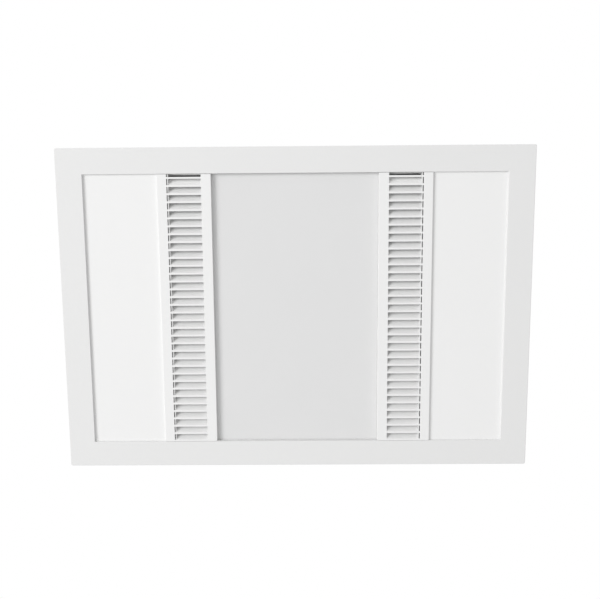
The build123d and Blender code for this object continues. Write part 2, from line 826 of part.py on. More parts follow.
# Ceramic end caps: socket for the tube, bore for the pin and a groove for the bracket
with BuildPart() as tube_end_caps:
    with BuildSketch(Plane.XZ.offset(cap_start_y)):
        with Locations(*tube_places):
            Circle(cap_radius)
    extrude(amount=cap_length)
    with BuildSketch(Plane.XZ.offset(cap_start_y)):
        with Locations(*tube_places):
            Circle(tube_radius + cap_gap)
    extrude(amount=cap_socket, mode=Mode.SUBTRACT)
    with BuildSketch(Plane.XZ.offset(cap_start_y)):
        with Locations(*tube_places):
            Circle(coil_pin_radius + cap_gap)
    extrude(amount=cap_length, mode=Mode.SUBTRACT)
    mirror(about=Plane.XZ)
tube_end_caps.part.label = "tube_end_caps"
export_step(tube_end_caps.part, "parts/tube_end_caps.step")

# Brackets that carry the tube ends under the shield and close the reflector
bracket_x = shield_x - shield_sheet - seat_gap
with BuildPart() as tube_brackets:
    with BuildSketch(Plane.XZ.offset(bracket_y)):
        patch(-bracket_x, bracket_x, reflector_z + reflector_sheet + seat_gap, shield_top_inner)
        with Locations(*tube_places):
            Circle(cap_radius + cap_gap, mode=Mode.SUBTRACT)
    extrude(amount=shield_sheet)
    with BuildSketch(Plane.XY.offset(shield_top_inner - shield_sheet)):
        patch(-bracket_x, bracket_x, -bracket_y - tube_bracket_foot, -bracket_y)
        with Locations(*bracket_screws):
            Circle(tap_radius + screw_clearance, mode=Mode.SUBTRACT)
    extrude(amount=shield_sheet)
    mirror(about=Plane.XZ)
tube_brackets.part.label = "tube_brackets"
export_step(tube_brackets.part, "parts/tube_brackets.step")

# Thermal cut-out on top of the shield
cutout_x = -cutout_place_share * shield_x
with BuildPart() as thermal_cutout:
    with BuildSketch(Plane.XY.offset(shield_top)):
        with Locations((cutout_x, 0)):
            Rectangle(cutout_flange_length, cutout_flange_width)
    extrude(amount=cutout_flange_thickness)
    with BuildSketch(Plane.XY.offset(shield_top)):
        with Locations((cutout_x, 0)):
            Circle(cutout_radius)
    extrude(amount=cutout_height)
    with BuildSketch(Plane.XY.offset(shield_top + cutout_height)):
        with Locations((cutout_x - cutout_radius / 2, 0), (cutout_x + cutout_radius / 2, 0)):
            Rectangle(cutout_blade_thickness, cutout_blade_width)
    extrude(amount=cutout_blade_height)
thermal_cutout.part.label = "thermal_cutout"
export_step(thermal_cutout.part, "parts/thermal_cutout.step")

# Light trays over the diffusers, between the long walls of the housing
tray_low_x = diffuser_x - tray_overlap
tray_middle_x = (tray_low_x + inside_x) / 2
with BuildPart() as led_tray_right:
    with BuildSketch(Plane.XY.offset(tray_bottom)):
        patch(tray_low_x, inside_x, -inside_y, inside_y)
    extrude(amount=tray_top - tray_bottom)
    fillet(led_tray_right.edges().filter_by(Axis.Z).group_by(Axis.X)[-1], bend_radius - sheet)
    with BuildSketch(Plane.XY.offset(tray_bottom)):
        patch(
            tray_low_x + tray_sheet, inside_x - tray_sheet, -inside_y + tray_sheet, inside_y - tray_sheet
        )
    extrude(amount=tray_top - tray_bottom - tray_sheet, mode=Mode.SUBTRACT)
    for x, side, z in side_screws:
        if x > tray_low_x:
            with BuildSketch(Plane.XZ.offset(-side * inside_y)):
                with Locations((x, z)):
                    Circle(tap_radius + screw_clearance)
            extrude(amount=overrun, both=True, mode=Mode.SUBTRACT)
led_tray_right.part.label = "led_tray_right"
export_step(led_tray_right.part, "parts/led_tray_right.step")

with BuildPart() as led_tray_left:
    mirror(led_tray_right.part, about=Plane.YZ)
led_tray_left.part.label = "led_tray_left"
export_step(led_tray_left.part, "parts/led_tray_left.step")

# LED boards under the tops of the trays
board_width = inside_x - tray_low_x - 2 * (tray_sheet + board_side_gap)
board_z = tray_top - tray_sheet - board_thickness
with BuildPart() as led_boards:
    with BuildSketch(Plane.XY.offset(board_z)):
        with Locations((-tray_middle_x, 0), (tray_middle_x, 0)):
            Rectangle(board_width, board_length)
    extrude(amount=board_thickness)
led_boards.part.label = "led_boards"
export_step(led_boards.part, "parts/led_boards.step")

# LED chips of both boards
with BuildPart() as led_chips:
    with BuildSketch(Plane.XY.offset(board_z - chip_height)):
        for side in (-1, 1):
            with Locations((side * tray_middle_x, 0)):
                with GridLocations(
                    board_width / chip_columns, board_length / chip_rows, chip_columns, chip_rows
                ):
                    Rectangle(chip_size, chip_size)
    extrude(amount=chip_height)
led_chips.part.label = "led_chips"
export_step(led_chips.part, "parts/led_chips.step")


# Inside of the scroll in plan
with BuildLine() as scroll_line:
    CenterArc((-half_step, -half_step), scroll_radius, 0, -90)
    CenterArc((-half_step, half_step), scroll_radius + scroll_step, -90, -90)
    CenterArc((half_step, half_step), scroll_radius + 2 * scroll_step, 180, -90)
    Polyline(
        (half_step, scroll_top_y),
        (outlet_reach, scroll_top_y),
        (outlet_reach, outlet_low_y),
        (tongue_x + tongue_radius, outlet_low_y),
    )
    CenterArc((tongue_x + tongue_radius, -half_step), tongue_radius, 90, 90)

# Fan casing: moulded scroll with a floor, screw columns and a flange round its outlet
column_radius = casing_lug_radius - casing_wall
outlet_flange = 2 * tap_head_radius + casing_wall
flange_low_y = outlet_low_y - casing_wall - outlet_flange
flange_high_y = scroll_top_y + casing_wall + outlet_flange
with BuildPart() as fan_casing:
    with BuildSketch(Plane.XY.offset(roof_z)):
        make_face(scroll_line.edges())
        offset(amount=casing_wall)
        patch(outlet_reach, 2 * outlet_reach, -outlet_reach, outlet_reach, mode=Mode.SUBTRACT)
        with Locations(*casing_lugs):
            Circle(column_radius)
    extrude(amount=lid_z - roof_z)
    with BuildSketch(Plane.YZ.offset(outlet_reach - casing_wall)):
        patch(flange_low_y, flange_high_y, roof_z, lid_z)
    extrude(amount=casing_wall)
    with BuildSketch(Plane.XY.offset(casing_floor_z)):
        make_face(scroll_line.edges())
    extrude(amount=casing_height, mode=Mode.SUBTRACT)
    with BuildSketch(Plane.XY.offset(roof_z - overrun)):
        Circle(inlet_radius)
    extrude(amount=casing_wall + 2 * overrun, mode=Mode.SUBTRACT)
    for hole_z in (roof_z, lid_z - tap_length):
        with BuildSketch(Plane.XY.offset(hole_z)):
            with Locations(*casing_lugs):
                Circle(tap_radius + screw_clearance)
        extrude(amount=tap_length, mode=Mode.SUBTRACT)
    spigot_screw_y = (flange_low_y + outlet_flange / 2, flange_high_y - outlet_flange / 2)
    spigot_screw_z = (roof_z + outlet_flange, lid_z - outlet_flange)
    spigot_screws = [(y, z) for y in spigot_screw_y for z in spigot_screw_z]
    with BuildSketch(Plane.YZ.offset(outlet_reach)):
        with Locations(*spigot_screws):
            Circle(tap_radius + screw_clearance)
    extrude(amount=overrun, both=True, mode=Mode.SUBTRACT)
fan_casing.part.label = "fan_casing"
export_step(fan_casing.part, "parts/fan_casing.step")

# Lid of the scroll, with the hole that the motor stands in
ear_places = [
    (ear_pitch_radius * cos(radians(turn)), ear_pitch_radius * sin(radians(turn)))
    for turn in (90 + 360 * number / ear_count for number in range(ear_count))
]
with BuildPart() as fan_lid:
    with BuildSketch(Plane.XY.offset(lid_z)):
        make_face(scroll_line.edges())
        offset(amount=lid_overhang)
        patch(outlet_reach, 2 * outlet_reach, -outlet_reach, outlet_reach, mode=Mode.SUBTRACT)
        with Locations(*casing_lugs):
            Circle(casing_lug_radius)
        Circle(lid_hole_radius, mode=Mode.SUBTRACT)
        with Locations(*casing_lugs):
            Circle(tap_radius + screw_clearance, mode=Mode.SUBTRACT)
        with Locations(*ear_places):
            Circle(motor_screw_radius + screw_clearance, mode=Mode.SUBTRACT)
    extrude(amount=casing_wall)
fan_lid.part.label = "fan_lid"
export_step(fan_lid.part, "parts/fan_lid.step")

# Inlet ring: flange under the roof and a rounded throat that reaches into the impeller
impeller_z = casing_floor_z + impeller_bottom_gap
ring_z = roof_z - sheet - inlet_ring_wall / 2
throat_r = inlet_throat_radius + inlet_ring_wall / 2
with BuildPart() as inlet_ring:
    with BuildSketch(Plane.XZ):
        with BuildLine() as bell:
            Line((inlet_flange_radius, ring_z), (throat_r + inlet_lip_height, ring_z))
            RadiusArc(
                (throat_r + inlet_lip_height, ring_z),
                (throat_r, ring_z + inlet_lip_height),
                inlet_lip_height,
            )
            Line((throat_r, ring_z + inlet_lip_height), (throat_r, impeller_z + inlet_overlap))
        trace(bell.edges(), line_width=inlet_ring_wall)
    revolve(axis=Axis.Z)
inlet_ring.part.label = "inlet_ring"
export_step(inlet_ring.part, "parts/inlet_ring.step")

# Impeller: a cup, inside which the motor stands, with forward-curved vanes set between it and a rim
impeller_top_z = impeller_z + impeller_height
cup_z = impeller_top_z - cup_depth
hub_z = cup_z - hub_length
vane_root = (blade_inner_radius + fan_blade_thickness / 2, 0)
vane_tip_r = impeller_radius - fan_blade_thickness / 2
vane_tip = (
    vane_tip_r * cos(radians(fan_blade_sweep)),
    -vane_tip_r * sin(radians(fan_blade_sweep)),
)
with BuildSketch() as vane:
    with BuildLine() as vane_bow:
        SagittaArc(vane_root, vane_tip, fan_blade_bow)
    trace(vane_bow.edges(), line_width=fan_blade_thickness)
with BuildPart() as impeller:
    with BuildSketch(Plane.XZ):
        with BuildLine():
            Polyline(
                (shaft_radius + bore_gap, hub_z),
                (hub_radius, hub_z),
                (hub_radius, cup_z - impeller_plate),
                (cup_bottom_radius, cup_z - impeller_plate),
                (cup_top_radius, impeller_top_z - impeller_plate),
                (impeller_radius, impeller_top_z - impeller_plate),
                (impeller_radius, impeller_top_z),
                (cup_top_radius - impeller_plate, impeller_top_z),
                (cup_bottom_radius - impeller_plate, cup_z),
                (shaft_radius + bore_gap, cup_z),
                close=True,
            )
        make_face()
    revolve(axis=Axis.Z)
impeller.part.label = "impeller"
export_step(impeller.part, "parts/impeller.step")

with BuildPart() as impeller_rim:
    with BuildSketch(Plane.XY.offset(impeller_z)):
        Circle(impeller_radius)
        Circle(blade_inner_radius, mode=Mode.SUBTRACT)
    extrude(amount=impeller_plate)
impeller_rim.part.label = "impeller_rim"
export_step(impeller_rim.part, "parts/impeller_rim.step")

with BuildPart() as impeller_vanes:
    with BuildSketch(Plane.XY.offset(impeller_z + impeller_plate)):
        with PolarLocations(0, fan_blade_count):
            add(vane.sketch_local)
    extrude(amount=impeller_height - 2 * impeller_plate)
impeller_vanes.part.label = "impeller_vanes"
export_step(impeller_vanes.part, "parts/impeller_vanes.step")

# Motor shell: can with a bearing boss under its floor
ear_z = casing_top_z + grommet_height
motor_z = cup_z + motor_lift
boss_z = motor_z - motor_boss_height
low_bearing_z = boss_z
high_bearing_z = ear_z - bearing_height
with BuildPart() as motor_body:
    with BuildSketch(Plane.XY.offset(motor_z)):
        Circle(motor_radius)
    extrude(amount=ear_z - motor_z)
    fillet(motor_body.faces().sort_by(Axis.Z)[0].edges(), motor_round)
    with BuildSketch(Plane.XY.offset(motor_z + motor_wall)):
        Circle(motor_radius - motor_wall)
    extrude(amount=ear_z - motor_z, mode=Mode.SUBTRACT)
    with BuildSketch(Plane.XY.offset(boss_z)):
        Circle(motor_boss_radius)
    extrude(amount=bearing_height)
    with BuildSketch(Plane.XY.offset(boss_z - overrun)):
        Circle(bearing_radius)
    extrude(amount=bearing_height + 2 * overrun, mode=Mode.SUBTRACT)
motor_body.part.label = "motor_body"
export_step(motor_body.part, "parts/motor_body.step")

# Motor cap: end plate with three ears, a low dome and the upper bearing boss
with BuildPart() as motor_cap:
    with BuildSketch(Plane.XY.offset(ear_z)):
        Circle(motor_radius)
        with Locations(*ear_places):
            Circle(ear_radius)
        with PolarLocations((motor_radius + ear_pitch_radius) / 2, ear_count, start_angle=90):
            Rectangle(ear_pitch_radius - motor_radius + ear_radius, 2 * ear_radius)
        with Locations(*ear_places):
            Circle(motor_screw_radius + screw_clearance, mode=Mode.SUBTRACT)
    extrude(amount=ear_thickness)
    with BuildSketch(Plane.XY.offset(ear_z)):
        Circle(motor_radius - motor_dome_inset)
    extrude(amount=motor_dome_height)
    fillet(motor_cap.faces().sort_by(Axis.Z)[-1].edges(), motor_dome_height - 2 * ear_thickness)
    with BuildSketch(Plane.XY.offset(high_bearing_z)):
        Circle(motor_boss_radius)
    extrude(amount=bearing_height)
    with BuildSketch(Plane.XY.offset(high_bearing_z - overrun)):
        Circle(bearing_radius)
    extrude(amount=bearing_height + overrun, mode=Mode.SUBTRACT)
motor_cap.part.label = "motor_cap"
export_step(motor_cap.part, "parts/motor_cap.step")

# Bearing bushes at both ends of the motor
with BuildPart() as motor_bearings:
    for bearing_z in (low_bearing_z, high_bearing_z):
        with BuildSketch(Plane.XY.offset(bearing_z)):
            Circle(bearing_radius - bore_gap)
            Circle(shaft_radius + running_gap, mode=Mode.SUBTRACT)
        extrude(amount=bearing_height)
motor_bearings.part.label = "motor_bearings"
export_step(motor_bearings.part, "parts/motor_bearings.step")

# Stator stack in the can and rotor stack on the shaft
stack_z = (low_bearing_z + bearing_height + high_bearing_z - stator_height) / 2
with BuildPart() as motor_stator:
    with BuildSketch(Plane.XY.offset(stack_z)):
        Circle(motor_radius - motor_wall - bore_gap)
        Circle(stator_inner_radius, mode=Mode.SUBTRACT)
    extrude(amount=stator_height)
motor_stator.part.label = "motor_stator"
export_step(motor_stator.part, "parts/motor_stator.step")

with BuildPart() as motor_rotor:
    with BuildSketch(Plane.XY.offset(stack_z)):
        Circle(stator_inner_radius - rotor_gap)
        Circle(shaft_radius + bore_gap, mode=Mode.SUBTRACT)
    extrude(amount=stator_height)
motor_rotor.part.label = "motor_rotor"
export_step(motor_rotor.part, "parts/motor_rotor.step")

with BuildPart() as motor_shaft:
    with BuildSketch(Plane.XY.offset(hub_z)):
        Circle(shaft_radius)
    extrude(amount=ear_z - hub_z - bore_gap)
motor_shaft.part.label = "motor_shaft"
export_step(motor_shaft.part, "parts/motor_shaft.step")

# Rubber grommets under the motor ears, waisted, and the screws through them
with BuildPart() as motor_grommets:
    with BuildSketch(Plane.XY.offset(casing_top_z)):
        with Locations(*ear_places):
            Circle(grommet_radius)
    extrude(amount=grommet_height)
    with BuildSketch(Plane.XY.offset(casing_top_z + grommet_height / 3)):
        with Locations(*ear_places):
            Circle(grommet_radius + overrun)
            Circle(grommet_waist, mode=Mode.SUBTRACT)
    extrude(amount=grommet_height / 3, mode=Mode.SUBTRACT)
    with BuildSketch(Plane.XY.offset(casing_top_z)):
        with Locations(*ear_places):
            Circle(motor_screw_radius + screw_clearance)
    extrude(amount=grommet_height, mode=Mode.SUBTRACT)
motor_grommets.part.label = "motor_grommets"
export_step(motor_grommets.part, "parts/motor_grommets.step")

with BuildPart() as motor_screws:
    with BuildSketch(Plane.XY.offset(lid_z - casing_wall)):
        with Locations(*ear_places):
            Circle(motor_screw_radius)
    extrude(amount=ear_z + ear_thickness - lid_z + casing_wall)
    with BuildSketch(Plane.XY.offset(ear_z + ear_thickness)):
        with Locations(*ear_places):
            Circle(motor_screw_head_radius)
    extrude(amount=motor_screw_head_height)
motor_screws.part.label = "motor_screws"
export_step(motor_screws.part, "parts/motor_screws.step")

# Outlet spigot: plate on the scroll outlet, round tube with a bead, flap seat and pin holes
pin_x = outlet_reach + flap_pin_place
bore_radius = spigot_radius - spigot_wall
flap_x = pin_x - knuckle_radius
outlet_plane = Plane.YZ.offset(outlet_reach)
spigot_middle = (outlet_middle_y, outlet_middle_z)
with BuildPart() as outlet_spigot:
    with BuildSketch(outlet_plane):
        patch(flange_low_y, flange_high_y, roof_z, casing_top_z)
    extrude(amount=spigot_plate)
    with BuildSketch(outlet_plane):
        with Locations(spigot_middle):
            Circle(spigot_radius)
    extrude(amount=spigot_length)
    with BuildSketch(Plane.YZ.offset(outlet_reach + spigot_plate + bead_offset)):
        with Locations(spigot_middle):
            Circle(spigot_radius + spigot_bead)
    extrude(amount=bead_width)
    bead_edges = outlet_spigot.edges().filter_by(GeomType.CIRCLE).filter_by(
        lambda edge: edge.radius > spigot_radius + spigot_bead / 2
    )
    fillet(bead_edges, spigot_bead / 2)
    with BuildSketch(Plane.YZ.offset(outlet_reach - overrun)):
        with Locations(spigot_middle):
            Circle(bore_radius)
    extrude(amount=spigot_length + 2 * overrun, mode=Mode.SUBTRACT)
    with BuildSketch(Plane.YZ.offset(flap_x - seat_gap - flap_seat_thickness)):
        with Locations(spigot_middle):
            Circle(bore_radius + spigot_wall / 2)
            Circle(bore_radius - flap_seat, mode=Mode.SUBTRACT)
    extrude(amount=flap_seat_thickness)
    with BuildSketch(outlet_plane):
        with Locations(*spigot_screws):
            Circle(tap_radius + screw_clearance)
    extrude(amount=spigot_plate + overrun, both=True, mode=Mode.SUBTRACT)
    with BuildSketch(Plane.XY.offset(outlet_middle_z - spigot_radius - overrun)):
        with Locations((pin_x, outlet_middle_y)):
            Circle(flap_pin_radius + running_gap)
    extrude(amount=2 * (spigot_radius + overrun), mode=Mode.SUBTRACT)
outlet_spigot.part.label = "outlet_spigot"
export_step(outlet_spigot.part, "parts/outlet_spigot.step")

with BuildPart() as flap_pin:
    with BuildSketch(Plane.XY.offset(outlet_middle_z - spigot_radius + flap_pin_inset)):
        with Locations((pin_x, outlet_middle_y)):
            Circle(flap_pin_radius)
    extrude(amount=2 * (spigot_radius - flap_pin_inset))
flap_pin.part.label = "flap_pin"
export_step(flap_pin.part, "parts/flap_pin.step")

# Back-draught flaps: two half discs on one upright pin, with interleaved knuckles
flap_radius = bore_radius - flap_gap
plate_edge = knuckle_radius + knuckle_end_gap
inner_knuckle = (spring_room / 2 + knuckle_end_gap, flap_radius / 2)
outer_knuckle = (flap_radius / 2 + knuckle_end_gap, flap_radius - 2 * knuckle_radius)
for name, outward, (knuckle_start, knuckle_end) in (
    ("flap_left", 1, inner_knuckle),
    ("flap_right", -1, outer_knuckle),
):
    with BuildPart() as flap:
        with BuildSketch(Plane.YZ.offset(flap_x)):
            with Locations(spigot_middle):
                Circle(flap_radius)
            far_y = outlet_middle_y - outward * 2 * flap_radius
            near_edges = sorted((far_y, outlet_middle_y + outward * plate_edge))
            patch(*near_edges, roof_z, casing_top_z, mode=Mode.SUBTRACT)
            for level in (-1, 1):
                strap_z = sorted(
                    (outlet_middle_z + level * knuckle_start, outlet_middle_z + level * knuckle_end)
                )
                strap_y = sorted((outlet_middle_y, outlet_middle_y + outward * 2 * plate_edge))
                patch(*strap_y, *strap_z)
        extrude(amount=flap_thickness)
        for level in (-1, 1):
            low_z = outlet_middle_z + min(level * knuckle_start, level * knuckle_end)
            with BuildSketch(Plane.XY.offset(low_z)):
                with Locations((pin_x, outlet_middle_y)):
                    Circle(knuckle_radius)
            extrude(amount=knuckle_end - knuckle_start)
        with BuildSketch(Plane.XY.offset(roof_z)):
            with Locations((pin_x, outlet_middle_y)):
                Circle(flap_pin_radius + running_gap)
        extrude(amount=casing_height, mode=Mode.SUBTRACT)
    flap.part.label = name
    export_step(flap.part, "parts/" + name + ".step")

# Spring that shuts both flaps: a coil on the pin between the knuckles, with two legs
coil_r = flap_pin_radius + running_gap + spring_wire
coil_pitch = 1.5 * spring_wire
coil_height = spring_room / 2
coil_z = outlet_middle_z - coil_height / 2
with BuildPart() as flap_spring:
    with BuildLine() as coil:
        Helix(coil_pitch, coil_height, coil_r, center=(pin_x, outlet_middle_y, coil_z))
    with BuildSketch(Plane(coil.line @ 0, z_dir=coil.line % 0)):
        Circle(spring_wire / 2)
    sweep(path=coil.line, is_frenet=True)
flap_spring.part.label = "flap_spring"
export_step(flap_spring.part, "parts/flap_spring.step")

# Terminal box on the roof, with a wire hole in its floor, a gland hole and two hinge ears
box_y = box_place_y
box_inner_length = box_length - 2 * box_wall
box_inner_width = box_width - 2 * box_wall
gland_z = roof_z + box_height / 2
gland_y = box_y - box_width / 2
gland_x = box_x - box_length * gland_place_share
hinge_x = box_low_x - hinge_radius - hinge_gap
hinge_z = box_top_z
hinge_ys = (box_y - hinge_spacing / 2, box_y + hinge_spacing / 2)
with BuildPart() as terminal_box:
    with BuildSketch(Plane.XY.offset(roof_z)):
        with Locations((box_x, box_y)):
            RectangleRounded(box_length, box_width, box_corner)
    extrude(amount=box_height)
    with BuildSketch(Plane.XY.offset(roof_z + box_wall)):
        with Locations((box_x, box_y)):
            RectangleRounded(box_inner_length, box_inner_width, box_corner - box_wall)
    extrude(amount=box_height, mode=Mode.SUBTRACT)
    with BuildSketch(Plane.XY.offset(roof_z - overrun)):
        with Locations((box_x, box_y)):
            Circle(roof_hole_radius)
    extrude(amount=box_wall + 2 * overrun, mode=Mode.SUBTRACT)
    with BuildSketch(Plane.XZ.offset(-gland_y)):
        with Locations((gland_x, gland_z)):
            Circle(gland_radius + running_gap)
    extrude(amount=2 * box_wall, both=True, mode=Mode.SUBTRACT)
    for ear_y in hinge_ys:
        with BuildSketch(Plane.XZ.offset(-ear_y)):
            with Locations((hinge_x, hinge_z)):
                Circle(hinge_radius)
            patch(hinge_x, box_low_x, hinge_z - hinge_radius, hinge_z)
            with Locations((hinge_x, hinge_z)):
                Circle(cover_pin_radius + running_gap, mode=Mode.SUBTRACT)
        extrude(amount=hinge_width / 2, both=True)
terminal_box.part.label = "terminal_box"
export_step(terminal_box.part, "parts/terminal_box.step")

# Hinged cover with a rim inside the box and two knuckles between the ears
cover_knuckle_ys = (
    hinge_ys[0] + hinge_width + hinge_gap,
    hinge_ys[1] - hinge_width - hinge_gap,
)
with BuildPart() as terminal_cover:
    with BuildSketch(Plane.XY.offset(box_top_z)):
        with Locations((box_x, box_y)):
            RectangleRounded(box_length, box_width, box_corner)
    extrude(amount=cover_thickness)
    with BuildSketch(Plane.XY.offset(box_top_z - cover_rim)):
        with Locations((box_x, box_y)):
            Rectangle(box_inner_length - 2 * panel_gap, box_inner_width - 2 * panel_gap)
            Rectangle(
                box_inner_length - 2 * panel_gap - 2 * box_wall,
                box_inner_width - 2 * panel_gap - 2 * box_wall,
                mode=Mode.SUBTRACT,
            )
    extrude(amount=cover_rim)
    rim_edges = terminal_cover.edges().filter_by(Axis.Z)
    rim_corners = rim_edges.filter_by(lambda edge: edge.center().Z < box_top_z).filter_by(
        lambda edge: abs(edge.center().X - box_x) > box_inner_length / 2 - box_wall
    )
    fillet(rim_corners, box_corner - box_wall)
    for knuckle_y in cover_knuckle_ys:
        with BuildSketch(Plane.XZ.offset(-knuckle_y)):
            with Locations((hinge_x, hinge_z)):
                Circle(hinge_radius)
            patch(hinge_x, box_low_x + box_corner, hinge_z, hinge_z + cover_thickness)
            with Locations((hinge_x, hinge_z)):
                Circle(cover_pin_radius + running_gap, mode=Mode.SUBTRACT)
        extrude(amount=hinge_width / 2, both=True)
terminal_cover.part.label = "terminal_cover"
export_step(terminal_cover.part, "parts/terminal_cover.step")

with BuildPart() as cover_pin:
    with BuildSketch(Plane.XZ.offset(-box_y)):
        with Locations((hinge_x, hinge_z)):
            Circle(cover_pin_radius)
    extrude(amount=(hinge_spacing + hinge_width) / 2, both=True)
cover_pin.part.label = "cover_pin"
export_step(cover_pin.part, "parts/cover_pin.step")

# Terminal block: moulded body with wire holes right through and a screw well over each
block_y = box_y + box_width / 4
block_z = roof_z + box_wall
way_pitch = block_length / block_ways
ways_x = [box_x - block_length / 2 + (number + 0.5) * way_pitch for number in range(block_ways)]
with BuildPart() as terminal_block:
    with BuildSketch(Plane.XY.offset(block_z)):
        with Locations((box_x, block_y)):
            Rectangle(block_length, block_width)
    extrude(amount=block_height)
    with BuildSketch(Plane.XZ.offset(-block_y)):
        with Locations(*[(x, block_z + block_height / 3) for x in ways_x]):
            Circle(block_wire_radius)
    extrude(amount=block_width, both=True, mode=Mode.SUBTRACT)
    with BuildSketch(Plane.XY.offset(block_z + block_height / 3)):
        with Locations(*[(x, block_y + side * block_width / 4) for x in ways_x for side in (-1, 1)]):
            Circle(block_screw_radius + screw_clearance)
    extrude(amount=block_height, mode=Mode.SUBTRACT)
terminal_block.part.label = "terminal_block"
export_step(terminal_block.part, "parts/terminal_block.step")

with BuildPart() as terminal_screws:
    with BuildSketch(Plane.XY.offset(block_z + block_height / 3 + block_wire_radius)):
        with Locations(*[(x, block_y + side * block_width / 4) for x in ways_x for side in (-1, 1)]):
            Circle(block_screw_radius)
    extrude(amount=block_height / 3)
terminal_screws.part.label = "terminal_screws"
export_step(terminal_screws.part, "parts/terminal_screws.step")

# Cable gland for the mains supply, in the wall of the terminal box
with BuildPart() as cable_gland:
    with BuildSketch(Plane.XZ.offset(-gland_y - 2 * box_wall)):
        with Locations((gland_x, gland_z)):
            Circle(gland_radius)
    extrude(amount=gland_length)
    with BuildSketch(Plane.XZ.offset(-gland_y)):
        with Locations((gland_x, gland_z)):
            RegularPolygon(gland_hex, 6)
    extrude(amount=gland_hex_height)
    gland_rim = cable_gland.faces().sort_by(Axis.Y)[0].edges()
    chamfer(gland_rim, gland_arris)
    with BuildSketch(Plane.XZ.offset(-gland_y - gland_length)):
        with Locations((gland_x, gland_z)):
            Circle(gland_bore)
    extrude(amount=2 * gland_length, mode=Mode.SUBTRACT)
cable_gland.part.label = "cable_gland"
export_step(cable_gland.part, "parts/cable_gland.step")

# Rubber grommet through the roof and the floor of the terminal box
with BuildPart() as roof_grommet:
    with BuildSketch(Plane.XY.offset(roof_z - sheet - grommet_lip)):
        with Locations((box_x, box_y)):
            Circle(roof_hole_radius + grommet_lip)
    extrude(amount=grommet_lip)
    with BuildSketch(Plane.XY.offset(roof_z - sheet)):
        with Locations((box_x, box_y)):
            Circle(roof_hole_radius - running_gap)
    extrude(amount=sheet + box_wall)
    with BuildSketch(Plane.XY.offset(roof_z + box_wall)):
        with Locations((box_x, box_y)):
            Circle(roof_hole_radius + grommet_lip)
    extrude(amount=grommet_lip)
    with BuildSketch(Plane.XY.offset(roof_z - sheet - grommet_lip)):
        with Locations((box_x, box_y)):
            Circle(grommet_bore)
    extrude(amount=box_wall + sheet + 2 * grommet_lip, mode=Mode.SUBTRACT)
roof_grommet.part.label = "roof_grommet"
export_step(roof_grommet.part, "parts/roof_grommet.step")

# LED driver with an ear at each end
with BuildPart() as led_driver:
    with BuildSketch(Plane.XY.offset(roof_z)):
        with Locations((driver_x, driver_y)):
            Rectangle(driver_length, driver_width)
    extrude(amount=driver_height)
    driver_edges = led_driver.edges().filter_by(Axis.Z) + led_driver.faces().sort_by(Axis.Z)[-1].edges()
    fillet(driver_edges, driver_round)
    with BuildSketch(Plane.XY.offset(roof_z)):
        with Locations((driver_x, driver_y)):
            Rectangle(driver_length + 2 * driver_ear, driver_width / 2)
        with Locations(*driver_screws):
            Circle(tap_radius + screw_clearance, mode=Mode.SUBTRACT)
    extrude(amount=driver_ear_thickness)
led_driver.part.label = "led_driver"
export_step(led_driver.part, "parts/led_driver.step")

# Run capacitor of the motor, lying on the roof under a strap
capacitor_z = roof_z + capacitor_radius
with BuildPart() as fan_capacitor:
    with BuildSketch(Plane.YZ.offset(capacitor_x - capacitor_length / 2)):
        with Locations((capacitor_y, capacitor_z)):
            Circle(capacitor_radius)
    extrude(amount=capacitor_length)
    fillet(fan_capacitor.edges(), capacitor_round)
fan_capacitor.part.label = "fan_capacitor"
export_step(fan_capacitor.part, "parts/fan_capacitor.step")

strap_radius = capacitor_radius + bore_gap
strap_outer = strap_radius + strap_thickness
with BuildPart() as capacitor_strap:
    with BuildSketch(Plane.YZ.offset(capacitor_x)):
        with Locations((capacitor_y, capacitor_z)):
            Circle(strap_outer)
        patch(capacitor_y - strap_outer, capacitor_y + strap_outer, roof_z, capacitor_z)
        strap_reach = strap_outer + strap_foot
        patch(capacitor_y - strap_reach, capacitor_y + strap_reach, roof_z, roof_z + strap_thickness)
        with Locations((capacitor_y, capacitor_z)):
            Circle(strap_radius, mode=Mode.SUBTRACT)
        patch(
            capacitor_y - strap_radius, capacitor_y + strap_radius, roof_z, capacitor_z, mode=Mode.SUBTRACT
        )
        patch(capacitor_y - strap_outer, capacitor_y + strap_outer, 0, roof_z, mode=Mode.SUBTRACT)
    extrude(amount=strap_width / 2, both=True)
    with BuildSketch(Plane.XY.offset(roof_z)):
        with Locations(*strap_screws):
            Circle(tap_radius + screw_clearance)
    extrude(amount=2 * strap_thickness, mode=Mode.SUBTRACT)
capacitor_strap.part.label = "capacitor_strap"
export_step(capacitor_strap.part, "parts/capacitor_strap.step")

# Self-tapping screws, each given by the middle of its seat and the side its head stands on
up = (0, 0, 1)
down = (0, 0, -1)
downstream = (1, 0, 0)
tap_screws = [((x, side * wall_face_y, z), (0, side, 0)) for x, side, z in side_screws]
tap_screws += [((x, y, shield_top), up) for x, y in bracket_screws]
tap_screws += [((x, y, roof_z + driver_ear_thickness), up) for x, y in driver_screws]
tap_screws += [((x, y, roof_z + strap_thickness), up) for x, y in strap_screws]
tap_screws += [((x, y, casing_top_z), up) for x, y in casing_lugs]
tap_screws += [((x, y, roof_z - sheet), down) for x, y in casing_lugs]
tap_screws += [((outlet_reach + spigot_plate, y, z), downstream) for y, z in spigot_screws]
with BuildPart() as assembly_screws:
    for seat, outward in tap_screws:
        with BuildSketch(Plane(seat, z_dir=outward)):
            Circle(tap_radius)
        extrude(amount=-tap_length)
        with BuildSketch(Plane(seat, z_dir=outward)):
            Circle(tap_head_radius)
        extrude(amount=tap_head_height)
assembly_screws.part.label = "assembly_screws"
export_step(assembly_screws.part, "parts/assembly_screws.step")


